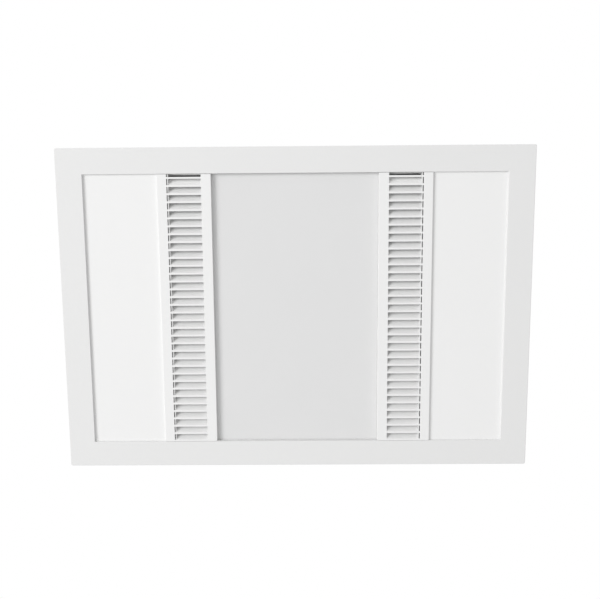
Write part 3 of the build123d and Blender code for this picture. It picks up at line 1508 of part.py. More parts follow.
def lead(points, radius):
    """A round lead along straight runs, joined by arcs as large as the shorter run allows."""
    corners = [Vector(*point) for point in points]
    bends = []
    for before, corner, after in zip(corners, corners[1:], corners[2:]):
        run_in = corner - before
        run_out = after - corner
        half_turn = radians(run_in.get_angle(run_out)) / 2
        bends.append(bend_share * min(run_in.length, run_out.length) / tan(half_turn))
    print("lead bends", [round(bend, 1) for bend in bends])
    with BuildPart() as tube:
        with BuildLine() as route:
            FilletPolyline(*points, radius=bends)
        with BuildSketch(Plane(route.line @ 0, z_dir=route.line % 0)):
            Circle(radius)
        sweep(path=route.line)
    section_times_length = pi * radius**2 * sum(edge.length for edge in route.line.edges())
    print("lead volume over section times length", round(tube.part.volume / section_times_length, 4))
    return tube.part


def stop(x, y, z, start_x=0, start_y=0, start_z=roof_z):
    """A point of a lead: steps of the lead grid from a start, which is the roof's middle if none is given."""
    return (start_x + x * lead_grid, start_y + y * lead_grid, start_z + z * lead_grid)


# Leads on the roof: terminal box to motor, and driver to terminal box
box_side_x = box_x + box_length / 2 + seat_gap
driver_end_x = driver_x - driver_length / 2 - seat_gap
motor_top_z = ear_z + motor_dome_height
motor_lead = (
    stop(0, -20, 20, start_x=box_side_x),
    stop(24, -20, 20, start_x=box_side_x),
    stop(40, -17, 48, start_x=box_side_x),
    stop(-140, -14, 93),
    stop(-118, -12, 120),
    stop(-75, -8, 131),
    stop(-48, -4, 135),
    stop(-31, -1, 132.5),
    stop(-24, 0.6, 125),
    stop(-23, 1, 0, start_z=motor_top_z + seat_gap),
)
driver_lead = (
    stop(0, 10, 10, start_x=driver_end_x, start_y=driver_y),
    stop(-15, 11, 9, start_x=driver_end_x, start_y=driver_y),
    stop(22, -128, 5),
    stop(-20, -122.5, 3.5),
    stop(-70, -122.5, 3.5),
    stop(-118, -118, 4),
    stop(-148, -92, 6),
    stop(24, -62, 10, start_x=box_side_x),
    stop(16, -42, 13, start_x=box_side_x),
    stop(0, -42, 13, start_x=box_side_x),
)
# Leads inside the housing: from the grommet to the cut-out and to both light trays
cutout_top_z = shield_top + cutout_height + cutout_blade_height + seat_gap
tray_lead_z = tray_top + seat_gap
cutout_lead = (
    stop(3.2, 0, 5, start_x=box_x),
    stop(3.2, 0, -12, start_x=box_x),
    stop(31, -2, -24, start_x=box_x),
    stop(-150, -4, -22),
    stop(-105, -3, -15),
    stop(-76, -1, -13),
    stop(0, 0, 0, start_x=cutout_x - cutout_radius / 2, start_z=cutout_top_z),
)
left_light_lead = (
    stop(-1.6, -2.8, 5, start_x=box_x),
    stop(-1.6, -2.8, -16, start_x=box_x),
    stop(-8, -5, -50, start_x=box_x),
    stop(-6, -6, 0, start_x=box_x, start_z=tray_lead_z),
)
right_light_lead = (
    stop(-1.6, 2.8, 5, start_x=box_x),
    stop(-1.6, 2.8, -10, start_x=box_x),
    stop(32, 24, -16, start_x=box_x),
    stop(-150, 62, -14),
    stop(-95, 100, -12),
    stop(-30, 118, -14),
    stop(40, 116, -16),
    stop(105, 92, -18),
    stop(160, 55, -22),
    stop(-26, 22, -34, start_x=tray_middle_x),
    stop(-3, 8, -57, start_x=tray_middle_x),
    stop(0, 6, 0, start_x=tray_middle_x, start_z=tray_lead_z),
)
with BuildPart() as wire_leads:
    for route in (motor_lead, driver_lead, cutout_lead, left_light_lead, right_light_lead):
        add(lead(route, lead_radius))
wire_leads.part.label = "wire_leads"
export_step(wire_leads.part, "parts/wire_leads.step")
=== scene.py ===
from itertools import pairwise, product
from math import cos, pi, radians, sin

import bmesh
import bpy
from bpy.props import FloatProperty, FloatVectorProperty, PointerProperty
from mathutils import Euler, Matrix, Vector


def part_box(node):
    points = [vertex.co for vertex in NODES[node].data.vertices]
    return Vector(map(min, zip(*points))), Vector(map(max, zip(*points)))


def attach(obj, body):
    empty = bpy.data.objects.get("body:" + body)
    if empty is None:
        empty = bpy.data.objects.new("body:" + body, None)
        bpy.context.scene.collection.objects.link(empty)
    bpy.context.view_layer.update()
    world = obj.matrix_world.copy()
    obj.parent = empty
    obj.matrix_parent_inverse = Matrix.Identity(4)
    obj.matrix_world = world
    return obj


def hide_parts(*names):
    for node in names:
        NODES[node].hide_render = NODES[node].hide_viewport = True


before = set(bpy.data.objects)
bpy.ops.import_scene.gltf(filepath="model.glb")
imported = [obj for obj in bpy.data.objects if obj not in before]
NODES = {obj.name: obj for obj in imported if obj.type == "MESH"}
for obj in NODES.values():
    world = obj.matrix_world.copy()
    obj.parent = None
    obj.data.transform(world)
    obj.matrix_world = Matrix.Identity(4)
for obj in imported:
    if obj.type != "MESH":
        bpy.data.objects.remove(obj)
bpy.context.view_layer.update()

bl_info = {
    "name": "Ceiling heater finish",
    "version": (1, 0, 0),
    "blender": (4, 5, 0),
    "location": "View3D > Sidebar > Heater",
    "description": "Finishes a recessed ceiling heater with light and exhaust fan, and lights it",
    "category": "Object",
}

BODY = "housing_body"

# Socket kinds of the effects, and what the effects that cover a whole surface put out.
COLOUR, VALUE, VECTOR = "NodeSocketColor", "NodeSocketFloat", "NodeSocketVector"
SURFACE = (("Colour", COLOUR), ("Roughness", VALUE), ("Height", VALUE))

# The Mix node has sockets of one name for each type of data, so its colours go by number.
MIX_FIRST, MIX_SECOND, MIX_RESULT = 6, 7, 2

# How fine the texture of a metal is along each axis, in lumps per metre, and how deep.
ROLLED_ALONG_X = (40.0, 2500.0, 2500.0)
METAL_GRAIN = 0.00002

# Profiles of the added details, from the wall outward. Heights are in metres above the wall.
# The bead's radii are shares of the weld's own radius, and those of the rivet are in metres.
# The plate's edge starts with how far each ring lies inside its outline, in metres.
WELD_BEAD = ((1.0, -0.0003), (1.0, 0.0), (0.82, 0.00022), (0.6, 0.0002), (0.4, 0.00004))
RIVET_DOME = (
    (0.0019, 0.0003), (0.0019, 0.0007), (0.0016, 0.0012), (0.001, 0.0016), (0.0004, 0.0017),
)
PLATE_EDGE = (
    (0.0, -0.0003), (0.0, 0.0005), (0.0003, 0.0007), (0.0016, 0.0007), (0.002, 0.0005),
    (0.0026, 0.0005),
)

# How many steps round out the curves of the added details.
WELD_SIDES = 14
RIVET_SIDES = 16
PLATE_CORNER_STEPS = 6
COIL_TURN_STEPS = 12
COIL_WIRE_SIDES = 6


def colour(name, description, default):
    """A colour that a user may change."""
    return FloatVectorProperty(
        name=name, description=description, default=default, subtype="COLOR", size=3,
        min=0.0, max=1.0,
    )


def length(name, description, default):
    """A length that a user may change, in metres."""
    return FloatProperty(
        name=name, description=description, default=default, unit="LENGTH", min=0.0
    )


def share(name, description, default):
    """A plain share from 0 to 1."""
    return FloatProperty(
        name=name, description=description, default=default, subtype="FACTOR", min=0.0, max=1.0
    )


def power(name, description, default):
    """The power of a lamp, in watts."""
    return FloatProperty(
        name=name, description=description, default=default, unit="POWER", min=0.0
    )


def position(name, description, default):
    """A position in the frame, in metres."""
    return FloatVectorProperty(
        name=name, description=description, default=default, subtype="TRANSLATION",
        unit="LENGTH", size=3,
    )


class HeaterColours(bpy.types.PropertyGroup):
    """The colours of the heater's finishes."""

    moulding: colour("White moulding", "Fascia", (0.812, 0.812, 0.809))
    # The louvres are the fascia's own white moulding. This paler copy of it is painted light that
    # lifts the shade in their slots.
    louvre: colour("Louvre moulding", "Louvres and their rails", (0.87, 0.87, 0.867))
    glass: colour("Frosted glass", "Glass before the heating tubes", (0.842, 0.842, 0.842))
    diffuser: colour("Opal acrylic", "Light covers", (0.88, 0.88, 0.877))
    rubber: colour("Silicone rubber", "Gasket and grommets", (0.55, 0.55, 0.53))
    zinc_sheet: colour("Galvanised sheet", "Housing and brackets", (0.6, 0.62, 0.63))
    weld: colour("Welded zinc", "Spot welds of the housing", (0.46, 0.47, 0.48))
    plate: colour("Bare plate", "Plate on the front wall", (0.74, 0.74, 0.73))
    shield: colour("Aluminised sheet", "Heat shield", (0.7, 0.7, 0.68))
    screws: colour("Bright zinc", "Screws", (0.62, 0.62, 0.6))
    springs: colour("Spring steel", "Clips and the spring of the flaps", (0.5, 0.5, 0.5))
    casting: colour("Zinc casting", "Ceiling clamps", (0.5, 0.51, 0.52))
    foam: colour("Closed-cell foam", "Seal on the flange", (0.03, 0.03, 0.032))
    reflector: colour("Polished aluminium", "Reflector", (0.85, 0.85, 0.85))
    quartz: colour("Clear quartz", "Heating tubes", (0.95, 0.96, 0.97))
    ceramic: colour("Steatite", "End caps of the tubes", (0.8, 0.77, 0.7))
    wire: colour("Resistance wire", "Heating wire", (0.3, 0.28, 0.27))
    black: colour("Black moulding", "Thermal cut-out and cable gland", (0.02, 0.02, 0.022))
    tray: colour("White enamel", "Light trays", (0.85, 0.85, 0.84))
    board: colour("White board", "Boards of the lights", (0.84, 0.85, 0.84))
    phosphor: colour("Phosphor", "Chips of the lights", (0.85, 0.66, 0.15))
    casing: colour("Dark moulding", "Scroll, lid, spigot and flaps", (0.11, 0.115, 0.12))
    impeller: colour("Impeller moulding", "Impeller", (0.04, 0.04, 0.043))
    motor: colour("Motor enamel", "Motor body and cap", (0.035, 0.037, 0.04))
    bronze: colour("Bronze", "Bearings and terminal screws", (0.62, 0.44, 0.2))
    stack: colour("Stacked sheets", "Stator and rotor", (0.35, 0.35, 0.36))
    shaft: colour("Ground steel", "Shaft and pins", (0.66, 0.66, 0.66))
    box: colour("Light grey moulding", "Terminal box and driver", (0.6, 0.61, 0.6))
    capacitor: colour("Capacitor case", "Run capacitor", (0.55, 0.56, 0.58))
    sleeve: colour("Heat-proof sleeve", "Internal leads", (0.7, 0.7, 0.67))
    dust: colour("Roof dust", "Fine dust on what lies in the roof space", (0.42, 0.4, 0.37))
    floor: colour("Pale floor", "Floor far below the ceiling", (0.86, 0.86, 0.86))


class HeaterSizes(bpy.types.PropertyGroup):
    """The sizes of the details that the finish adds."""

    coil_pitch: length("Coil pitch", "Distance between turns of the heating wire", 0.0032)
    coil_wire: length("Coil wire", "Diameter of the heating wire", 0.0009)
    coil_share: share("Wound share", "Share of a coil's length that the turns take up", 0.92)
    weld_radius: length("Weld radius", "Radius of a spot weld", 0.0028)
    weld_pitch: length("Weld pitch", "Distance between the welds of a corner", 0.024)
    weld_corner_gap: length("Weld corner gap", "From a corner to its welds' middles", 0.00952)
    weld_edge_gap: length("Weld edge gap", "From the roof to the first weld's middle", 0.014)
    plate_length: length("Plate length", "Length of the bare plate on the front wall", 0.07)
    plate_width: length("Plate width", "Width of the bare plate on the front wall", 0.042)
    plate_corner: length("Plate corner", "Radius of the plate's corners", 0.004)
    plate_level: share("Plate level", "Height of the plate's middle on the wall", 0.56)
    rivet_gap: length("Rivet gap", "From the plate's edges to a rivet's middle", 0.0055)
    wear_width: length("Wear width", "How far handling wears in from an edge", 0.0006)


class HeaterStage(bpy.types.PropertyGroup):
    """The camera, the light and the floor."""

    camera_place: position(
        "Camera place", "Where the camera stands, below the ceiling",
        (0.01824, -0.19697, -1.11683),
    )
    camera_turn: FloatVectorProperty(
        name="Camera turn", description="How the camera is turned",
        default=(radians(170.591), radians(-0.584), radians(0.465)), subtype="EULER", size=3,
    )
    camera_near: length("Camera near limit", "Nearest distance that the camera sees", 0.01)
    lens: FloatProperty(
        name="Lens", description="Focal length on a 36 mm sensor", default=49.8, unit="CAMERA"
    )
    world_light: share("World light", "Strength of the even light", 0.56)
    key_light: power("Key light", "Power of the soft box below the ceiling", 316.0)
    key_place: position("Key place", "Where the soft box below stands", (-5.0, -1.7, -4.8))
    key_width: length("Key width", "Width of the soft box below", 3.4)
    top_light: power("Roof light", "Power of the soft box above the roof", 190.0)
    top_place: position("Roof place", "Where the soft box above stands", (-2.6, -3.4, 3.8))
    top_width: length("Roof width", "Width of the soft box above", 1.8)
    floor_depth: length("Floor depth", "How far the floor lies below the ceiling", 6.4)
    floor_reach: length("Floor reach", "How far the floor goes from the middle", 16.0)


def link(tree, source, target):
    """Links two sockets of a node tree, or sets a plain value."""
    if hasattr(source, "links"):
        tree.links.new(source, target)
    else:
        target.default_value = source


def add_node(tree, kind, inputs, **settings):
    """Adds a node with its settings, then links its inputs or sets their values."""
    node = tree.nodes.new(kind)
    for name, value in settings.items():
        setattr(node, name, value)
    for socket, value in inputs.items():
        link(tree, value, node.inputs[socket])
    return node.outputs


class Effect:
    """A shader node group being made, with helpers for its sockets and nodes."""

    def __init__(self, name, inputs, outputs):
        self.tree = bpy.data.node_groups.new(name, "ShaderNodeTree")
        for socket, kind, default in inputs:
            made = self.tree.interface.new_socket(socket, in_out="INPUT", socket_type=kind)
            made.default_value = default
        for socket, kind in outputs:
            self.tree.interface.new_socket(socket, in_out="OUTPUT", socket_type=kind)
        self.start = self.tree.nodes.new("NodeGroupInput").outputs
        self.end = self.tree.nodes.new("NodeGroupOutput").inputs
        self.place = self.tree.nodes.new("ShaderNodeTexCoord").outputs["Object"]

    def node(self, kind, inputs, **settings):
        """Adds a node to the group."""
        return add_node(self.tree, kind, inputs, **settings)

    def math(self, operation, first, second, clamp=False):
        """One step of arithmetic."""
        inputs = {0: first, 1: second}
        return self.node("ShaderNodeMath", inputs, operation=operation, use_clamp=clamp)[0]

    def vector(self, operation, first, second):
        """One step of arithmetic with two vectors."""
        return self.node("ShaderNodeVectorMath", {0: first, 1: second}, operation=operation)

    def scaled(self, base, factor):
        """A colour or vector times a value."""
        inputs = {0: base, "Scale": factor}
        return self.node("ShaderNodeVectorMath", inputs, operation="SCALE")[0]

    def noise(self, scale, detail, place=None):
        """Cloudy noise of 0 to 1 at a number of lumps per metre."""
        vector = self.place if place is None else place
        inputs = {"Vector": vector, "Scale": scale, "Detail": detail}
        return self.node("ShaderNodeTexNoise", inputs)["Fac"]

    def ramp(self, value, low, high):
        """Maps low to 0 and high to 1, and stops there."""
        inputs = {"Value": value, "From Min": low, "From Max": high}
        return self.node("ShaderNodeMapRange", inputs)["Result"]

    def blend(self, first, second, part):
        """Adds a part of the first value to the rest of the second."""
        rest = 1.0 - part
        return self.math(
            "ADD", self.math("MULTIPLY", first, part), self.math("MULTIPLY", second, rest)
        )

    def swing(self, pattern, spread):
        """Turns a pattern of 0 to 1 into a change to both sides of zero."""
        return self.math("MULTIPLY", self.math("SUBTRACT", pattern, 0.5), spread)

    def put_colour(self, mask, tint):
        """Puts out the colour, mixed with a tint where the mask says so."""
        inputs = {"Factor": mask, MIX_FIRST: self.start["Colour"], MIX_SECOND: tint}
        mixed = self.node("ShaderNodeMix", inputs, data_type="RGBA")[MIX_RESULT]
        link(self.tree, mixed, self.end["Colour"])

    def put_surface(self, pattern, contrast, change, height):
        """Puts out the colour darkened by a pattern, the changed roughness and the height."""
        light = self.math("SUBTRACT", 1.0, self.math("MULTIPLY", pattern, contrast))
        rough = self.math("ADD", self.start["Roughness"], change, clamp=True)
        link(self.tree, self.scaled(self.start["Colour"], light), self.end["Colour"])
        link(self.tree, rough, self.end["Roughness"])
        link(self.tree, height, self.end["Height"])


def moulded_texture(name):
    """Fine spark-eroded texture of a moulding, with faint clouds in its colour."""
    made = Effect(
        name,
        (
            ("Colour", COLOUR, (0.8, 0.8, 0.8, 1.0)),
            ("Clouds", VALUE, 0.03),
            ("Grain Scale", VALUE, 2500.0),
            ("Roughness", VALUE, 0.4),
            ("Spread", VALUE, 0.1),
        ),
        SURFACE,
    )
    clouds = made.noise(scale=14.0, detail=4.0)
    grain = made.noise(scale=made.start["Grain Scale"], detail=2.0)
    spread = made.start["Spread"]
    change = made.math("ADD", made.swing(grain, spread), made.swing(clouds, spread))
    made.put_surface(clouds, made.start["Clouds"], change, grain)
    return made.tree


def rolled_lines(name):
    """Fine lines of rolled or drawn metal along one axis, with broad stains."""
    made = Effect(
        name,
        (
            ("Colour", COLOUR, (0.7, 0.7, 0.7, 1.0)),
            ("Contrast", VALUE, 0.12),
            ("Stretch", VECTOR, ROLLED_ALONG_X),
            ("Roughness", VALUE, 0.3),
            ("Spread", VALUE, 0.15),
        ),
        SURFACE,
    )
    stretched = made.vector("MULTIPLY", made.place, made.start["Stretch"])[0]
    lines = made.noise(scale=1.0, detail=3.0, place=stretched)
    stains = made.noise(scale=9.0, detail=5.0)
    both = made.blend(lines, stains, part=0.6)
    made.put_surface(both, made.start["Contrast"], made.swing(both, made.start["Spread"]), lines)
    return made.tree


def zinc_spangle(name):
    """The crystals of hot-dipped zinc, with bent borders and broad clouds."""
    made = Effect(
        name,
        (
            ("Colour", COLOUR, (0.6, 0.62, 0.63, 1.0)),
            ("Contrast", VALUE, 0.3),
            ("Scale", VALUE, 160.0),
            ("Roughness", VALUE, 0.38),
            ("Spread", VALUE, 0.22),
        ),
        SURFACE,
    )
    bends = made.node("ShaderNodeTexNoise", {"Vector": made.place, "Scale": 110.0})["Color"]
    bend_reach = 0.006
    bent = made.vector("ADD", made.place, made.scaled(bends, bend_reach))[0]
    inputs = {"Vector": bent, "Scale": made.start["Scale"]}
    cells = made.node("ShaderNodeTexVoronoi", inputs)["Color"]
    tones = made.node("ShaderNodeSeparateColor", {0: cells})
    both = made.blend(tones["Red"], made.noise(scale=7.0, detail=5.0), part=0.65)
    change = made.swing(both, made.start["Spread"])
    made.put_surface(both, made.start["Contrast"], change, tones["Green"])
    return made.tree


def rubbed_edges(name):
    """Edges rubbed to another colour by handling."""
    made = Effect(
        name,
        (
            ("Colour", COLOUR, (0.5, 0.5, 0.5, 1.0)),
            ("Worn Colour", COLOUR, (0.7, 0.7, 0.7, 1.0)),
            ("Width", VALUE, 0.0006),
            ("Amount", VALUE, 0.5),
        ),
        (("Colour", COLOUR),),
    )
    rounded = made.node("ShaderNodeBevel", {"Radius": made.start["Width"]}, samples=4)["Normal"]
    normal = made.node("ShaderNodeNewGeometry", {})["Normal"]
    alike = made.vector("DOT_PRODUCT", rounded, normal)["Value"]
    edge = made.ramp(alike, low=0.985, high=0.86)
    patches = made.ramp(made.noise(scale=90.0, detail=4.0), low=0.42, high=0.6)
    mask = made.math("MULTIPLY", made.math("MULTIPLY", edge, patches), made.start["Amount"])
    made.put_colour(mask, made.start["Worn Colour"])
    return made.tree


def settled_dust(name):
    """Fine dust on the surfaces that look up."""
    made = Effect(
        name,
        (
            ("Colour", COLOUR, (0.5, 0.5, 0.5, 1.0)),
            ("Dust Colour", COLOUR, (0.42, 0.4, 0.37, 1.0)),
            ("Roughness", VALUE, 0.4),
            ("Dust Roughness", VALUE, 0.9),
            ("Amount", VALUE, 0.35),
        ),
        (("Colour", COLOUR), ("Roughness", VALUE)),
    )
    normal = made.node("ShaderNodeNewGeometry", {})["Normal"]
    upward = made.node("ShaderNodeSeparateXYZ", {0: normal})["Z"]
    facing_up = made.ramp(upward, low=0.3, high=0.95)
    grit_share = 0.3
    grit = made.math("MULTIPLY", made.noise(scale=900.0, detail=2.0), grit_share)
    clumps = made.ramp(
        made.math("ADD", made.noise(scale=11.0, detail=6.0), grit), low=0.4, high=0.95
    )
    mask = made.math("MULTIPLY", made.math("MULTIPLY", facing_up, clumps), made.start["Amount"])
    made.put_colour(mask, made.start["Dust Colour"])
    rough = made.start["Roughness"]
    rise = made.math("MULTIPLY", mask, made.math("SUBTRACT", made.start["Dust Roughness"], rough))
    link(made.tree, made.math("ADD", rough, rise), made.end["Roughness"])
    return made.tree


EFFECTS = {
    "moulded texture": moulded_texture,
    "rolled lines": rolled_lines,
    "zinc spangle": zinc_spangle,
    "rubbed edges": rubbed_edges,
    "settled dust": settled_dust,
}


def opaque(tint):
    """A colour with full alpha."""
    return (*tint, 1.0)


def lighter(tint, gain, lift=0.0):
    """The paler colour that rubbing leaves."""
    return [min(1.0, lift + gain * channel) for channel in tint]


class Material:
    """One material being made: its node tree and the inputs of its Principled BSDF."""

    def __init__(self, name, **plain):
        self.data = bpy.data.materials.new(name)
        self.data.use_nodes = True
        self.tree = self.data.node_tree
        self.shader = self.tree.nodes["Principled BSDF"].inputs
        for socket, value in plain.items():
            self.shader[socket.replace("_", " ")].default_value = value

    def effect(self, name, **values):
        """Places the node group of an effect, which is made when it is first asked for."""
        group = bpy.data.node_groups.get(name) or EFFECTS[name](name)
        inputs = {socket.replace("_", " "): value for socket, value in values.items()}
        return add_node(self.tree, "ShaderNodeGroup", inputs, node_tree=group)

    def finish(self, base, depth, dust, wear, worn_tint):
        """Feeds an effect to the shader, by way of rubbed edges and dust where asked for."""
        scene = bpy.context.scene
        tint, rough = base["Colour"], base["Roughness"]
        if wear:
            tint = self.effect(
                "rubbed edges", Colour=tint, Worn_Colour=opaque(worn_tint),
                Width=scene.heater_sizes.wear_width, Amount=wear,
            )["Colour"]
        if dust:
            dusty = self.effect(
                "settled dust", Colour=tint, Dust_Colour=opaque(scene.heater_colours.dust),
                Roughness=rough, Amount=dust,
            )
            tint, rough = dusty["Colour"], dusty["Roughness"]
        bump = add_node(
            self.tree, "ShaderNodeBump", {"Height": base["Height"], "Distance": depth}
        )
        link(self.tree, tint, self.shader["Base Color"])
        link(self.tree, rough, self.shader["Roughness"])
        link(self.tree, bump["Normal"], self.shader["Normal"])
        return self.data


def moulding(
    name, tint, rough, grain=2500.0, depth=0.00003, clouds=0.03, spread=0.1, dust=0.0,
    wear=0.0, **plain
):
    """A moulded, coated or glassy surface with a fine grain, whose depth is in metres."""
    made = Material(name, **plain)
    base = made.effect(
        "moulded texture", Colour=opaque(tint), Clouds=clouds, Grain_Scale=grain,
        Roughness=rough, Spread=spread,
    )
    return made.finish(base, depth, dust, wear, lighter(tint, gain=1.25, lift=0.06))


def metal(name, tint, rough, stretch=ROLLED_ALONG_X, contrast=0.12, dust=0.0, wear=0.0):
    """A rolled, drawn, turned or cast metal."""
    made = Material(name, Metallic=1.0)
    base = made.effect(
        "rolled lines", Colour=opaque(tint), Contrast=contrast, Stretch=stretch, Roughness=rough
    )
    return made.finish(base, METAL_GRAIN, dust, wear, lighter(tint, gain=1.2))


def zinc_sheet(name, tint, dust, wear):
    """Hot-dipped galvanised sheet."""
    made = Material(name, Metallic=0.85)
    base = made.effect("zinc spangle", Colour=opaque(tint))
    return made.finish(base, METAL_GRAIN, dust, wear, lighter(tint, gain=1.3))


def give(material, *nodes):
    """Gives CAD nodes a material."""
    for name in nodes:
        mesh = NODES[name].data
        mesh.materials.clear()
        mesh.materials.append(material)


def skin(builder, rings):
    """Joins rings of points into a closed tube."""
    sides = len(rings[0])
    for first, second in pairwise(rings):
        for side in range(sides):
            following = (side + 1) % sides
            builder.faces.new((first[side], first[following], second[following], second[side]))
    builder.faces.new(list(reversed(rings[0])))
    builder.faces.new(rings[-1])


def circle(builder, middle, radius, first, second, sides):
    """The points of a circle in the plane of two directions."""
    points = []
    for side in range(sides):
        angle = 2 * pi * side / sides
        spoke = cos(angle) * first + sin(angle) * second
        points.append(builder.verts.new(middle + radius * spoke))
    return points


def turned(builder, middle, outward, profile, sides):
    """Turns a profile of radius and height about an axis that points outward from a wall."""
    across = Vector((1.0, 0.0, 0.0))
    upward = outward.cross(across)
    skin(builder, [
        circle(builder, middle + height * outward, radius, across, upward, sides)
        for radius, height in profile
    ])


def rounded_outline(half_length, half_width, corner):
    """The points of a rectangle with rounded corners, anticlockwise."""
    points = []
    for quarter in range(4):
        side_x = 1 if quarter in (0, 3) else -1
        side_z = 1 if quarter in (0, 1) else -1
        for step in range(PLATE_CORNER_STEPS + 1):
            angle = (quarter + step / PLATE_CORNER_STEPS) * pi / 2
            points.append((
                side_x * (half_length - corner) + corner * cos(angle),
                side_z * (half_width - corner) + corner * sin(angle),
            ))
    return points


def mesh_object(name, builder, material):
    """Links a mesh made in bmesh to the scene, with its material."""
    mesh = bpy.data.meshes.new(name)
    builder.to_mesh(mesh)
    builder.free()
    mesh.materials.append(material)
    made = bpy.data.objects.new(name, mesh)
    bpy.context.scene.collection.objects.link(made)
    return made


def new_piece(name, builder, material, replaced=(), crease=pi):
    """Makes a smooth piece that rides on the housing, with sharp edges past the crease."""
    piece = mesh_object(name, builder, material)
    piece.data.shade_smooth()
    piece.data.set_sharp_from_angle(angle=crease)
    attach(piece, BODY)
    if replaced:
        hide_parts(*replaced)


class HEATER_OT_stage(bpy.types.Operator):
    """Sets the camera, the light, the white background and the floor"""

    bl_idname = "heater.stage"
    bl_label = "Stage"

    def execute(self, context):
        scene = context.scene
        stage = scene.heater_stage
        self.make_camera(scene, stage)
        self.make_world(scene, stage.world_light)
        self.make_soft_box(
            scene, "key soft box", stage.key_light, stage.key_place, stage.key_width
        )
        self.make_soft_box(
            scene, "roof soft box", stage.top_light, stage.top_place, stage.top_width
        )
        self.make_floor(scene, stage.floor_depth, stage.floor_reach)
        return {"FINISHED"}

    def make_camera(self, scene, stage):
        """The camera below the ceiling. The colours show as they are written."""
        camera_data = bpy.data.cameras.new("camera")
        camera_data.lens = stage.lens
        camera_data.clip_start = stage.camera_near
        camera = bpy.data.objects.new("camera", camera_data)
        camera.location = stage.camera_place
        camera.rotation_euler = Euler(stage.camera_turn)
        scene.collection.objects.link(camera)
        scene.camera = camera
        scene.view_settings.view_transform = "Standard"

    def make_world(self, scene, strength):
        """White to the camera, to gloss and through glass, and an even light for the rest."""
        world = bpy.data.worlds.new("white surround")
        world.use_nodes = True
        tree = world.node_tree
        rays = add_node(tree, "ShaderNodeLightPath", {})
        inputs = {0: rays["Is Glossy Ray"], 1: rays["Is Transmission Ray"]}
        mirrored = add_node(tree, "ShaderNodeMath", inputs, operation="MAXIMUM")[0]
        inputs = {0: rays["Is Camera Ray"], 1: mirrored}
        seen = add_node(tree, "ShaderNodeMath", inputs, operation="MAXIMUM")[0]
        inputs = {"Value": seen, "To Min": strength, "To Max": 1.0}
        level = add_node(tree, "ShaderNodeMapRange", inputs)["Result"]
        background = tree.nodes["Background"].inputs
        link(tree, opaque((1.0, 1.0, 1.0)), background["Color"])
        link(tree, level, background["Strength"])
        scene.world = world

    def make_soft_box(self, scene, name, watts, place, width):
        """A soft box that looks at the heater and doesn't show in gloss."""
        light = bpy.data.lights.new(name, "AREA")
        light.energy = watts
        light.size = width
        box = bpy.data.objects.new(name, light)
        box.location = place
        box.rotation_euler = (-Vector(place)).to_track_quat("-Z", "Y").to_euler()
        box.visible_glossy = False
        scene.collection.objects.link(box)

    def make_floor(self, scene, depth, reach):
        """A plain pale floor."""
        builder = bmesh.new()
        corners = ((-reach, -reach), (reach, -reach), (reach, reach), (-reach, reach))
        builder.faces.new([builder.verts.new((x, y, -depth)) for x, y in corners])
        material = moulding(
            "pale floor", scene.heater_colours.floor, rough=0.7, grain=40.0, depth=0.0001,
            clouds=0.01,
        )
        mesh_object("floor", builder, material)


class HEATER_OT_fascia(bpy.types.Operator):
    """Finishes the white mouldings, the glass and the light covers"""

    bl_idname = "heater.fascia"
    bl_label = "Fascia"

    def execute(self, context):
        tints = context.scene.heater_colours
        smooth = {"clouds": 0.012, "depth": 0.000012, "spread": 0.06}
        white = moulding("white moulding", tints.moulding, rough=0.32, **smooth)
        give(white, "fascia_frame")
        # Painted light: the louvres get a paler copy of the fascia's white, which lifts the shade
        # in their slots.
        bright = moulding("louvre moulding", tints.louvre, rough=0.34, **smooth)
        give(bright, "louvre_left", "louvre_right")
        glass = moulding(
            "frosted glass", tints.glass, rough=0.42, grain=5200.0, clouds=0.02,
            depth=0.00001, Transmission_Weight=0.1, IOR=1.5,
        )
        give(glass, "heater_glass")
        opal = moulding(
            "opal acrylic", tints.diffuser, rough=0.36, grain=3800.0, clouds=0.008,
            depth=0.000006,
        )
        give(opal, "diffuser_left", "diffuser_right")
        rubber = moulding("silicone rubber", tints.rubber, rough=0.6, grain=1200.0)
        give(rubber, "glass_gasket", "motor_grommets", "roof_grommet")
        return {"FINISHED"}


class HEATER_OT_housing(bpy.types.Operator):
    """Finishes the sheet metal housing, its clamps, its screws and its foam seal"""

    bl_idname = "heater.housing"
    bl_label = "Housing"

    def execute(self, context):
        tints = context.scene.heater_colours
        sheet = zinc_sheet("galvanised sheet", tints.zinc_sheet, dust=0.35, wear=0.5)
        give(sheet, "housing", "clamp_brackets", "tube_brackets", "capacitor_strap")
        shield = metal("aluminised sheet", tints.shield, rough=0.42, dust=0.2)
        give(shield, "heat_shield")
        screws = metal(
            "bright zinc screws", tints.screws, rough=0.28, stretch=(900.0, 900.0, 900.0),
            wear=0.4,
        )
        give(screws, "panel_screws", "assembly_screws", "motor_screws", "clamp_screws")
        springs = metal(
            "spring steel", tints.springs, rough=0.3, stretch=(60.0, 2000.0, 2000.0)
        )
        give(springs, "panel_clips", "spring_clips", "flap_spring")
        casting = metal(
            "zinc casting", tints.casting, rough=0.5, stretch=(600.0, 600.0, 600.0),
            contrast=0.25, dust=0.2, wear=0.5,
        )
        give(casting, *[name for name in NODES if name.startswith("clamp_arm")])
        foam = moulding(
            "closed-cell foam", tints.foam, rough=0.95, grain=1500.0, depth=0.0004, clouds=0.3
        )
        give(foam, "foam_seal")
        return {"FINISHED"}


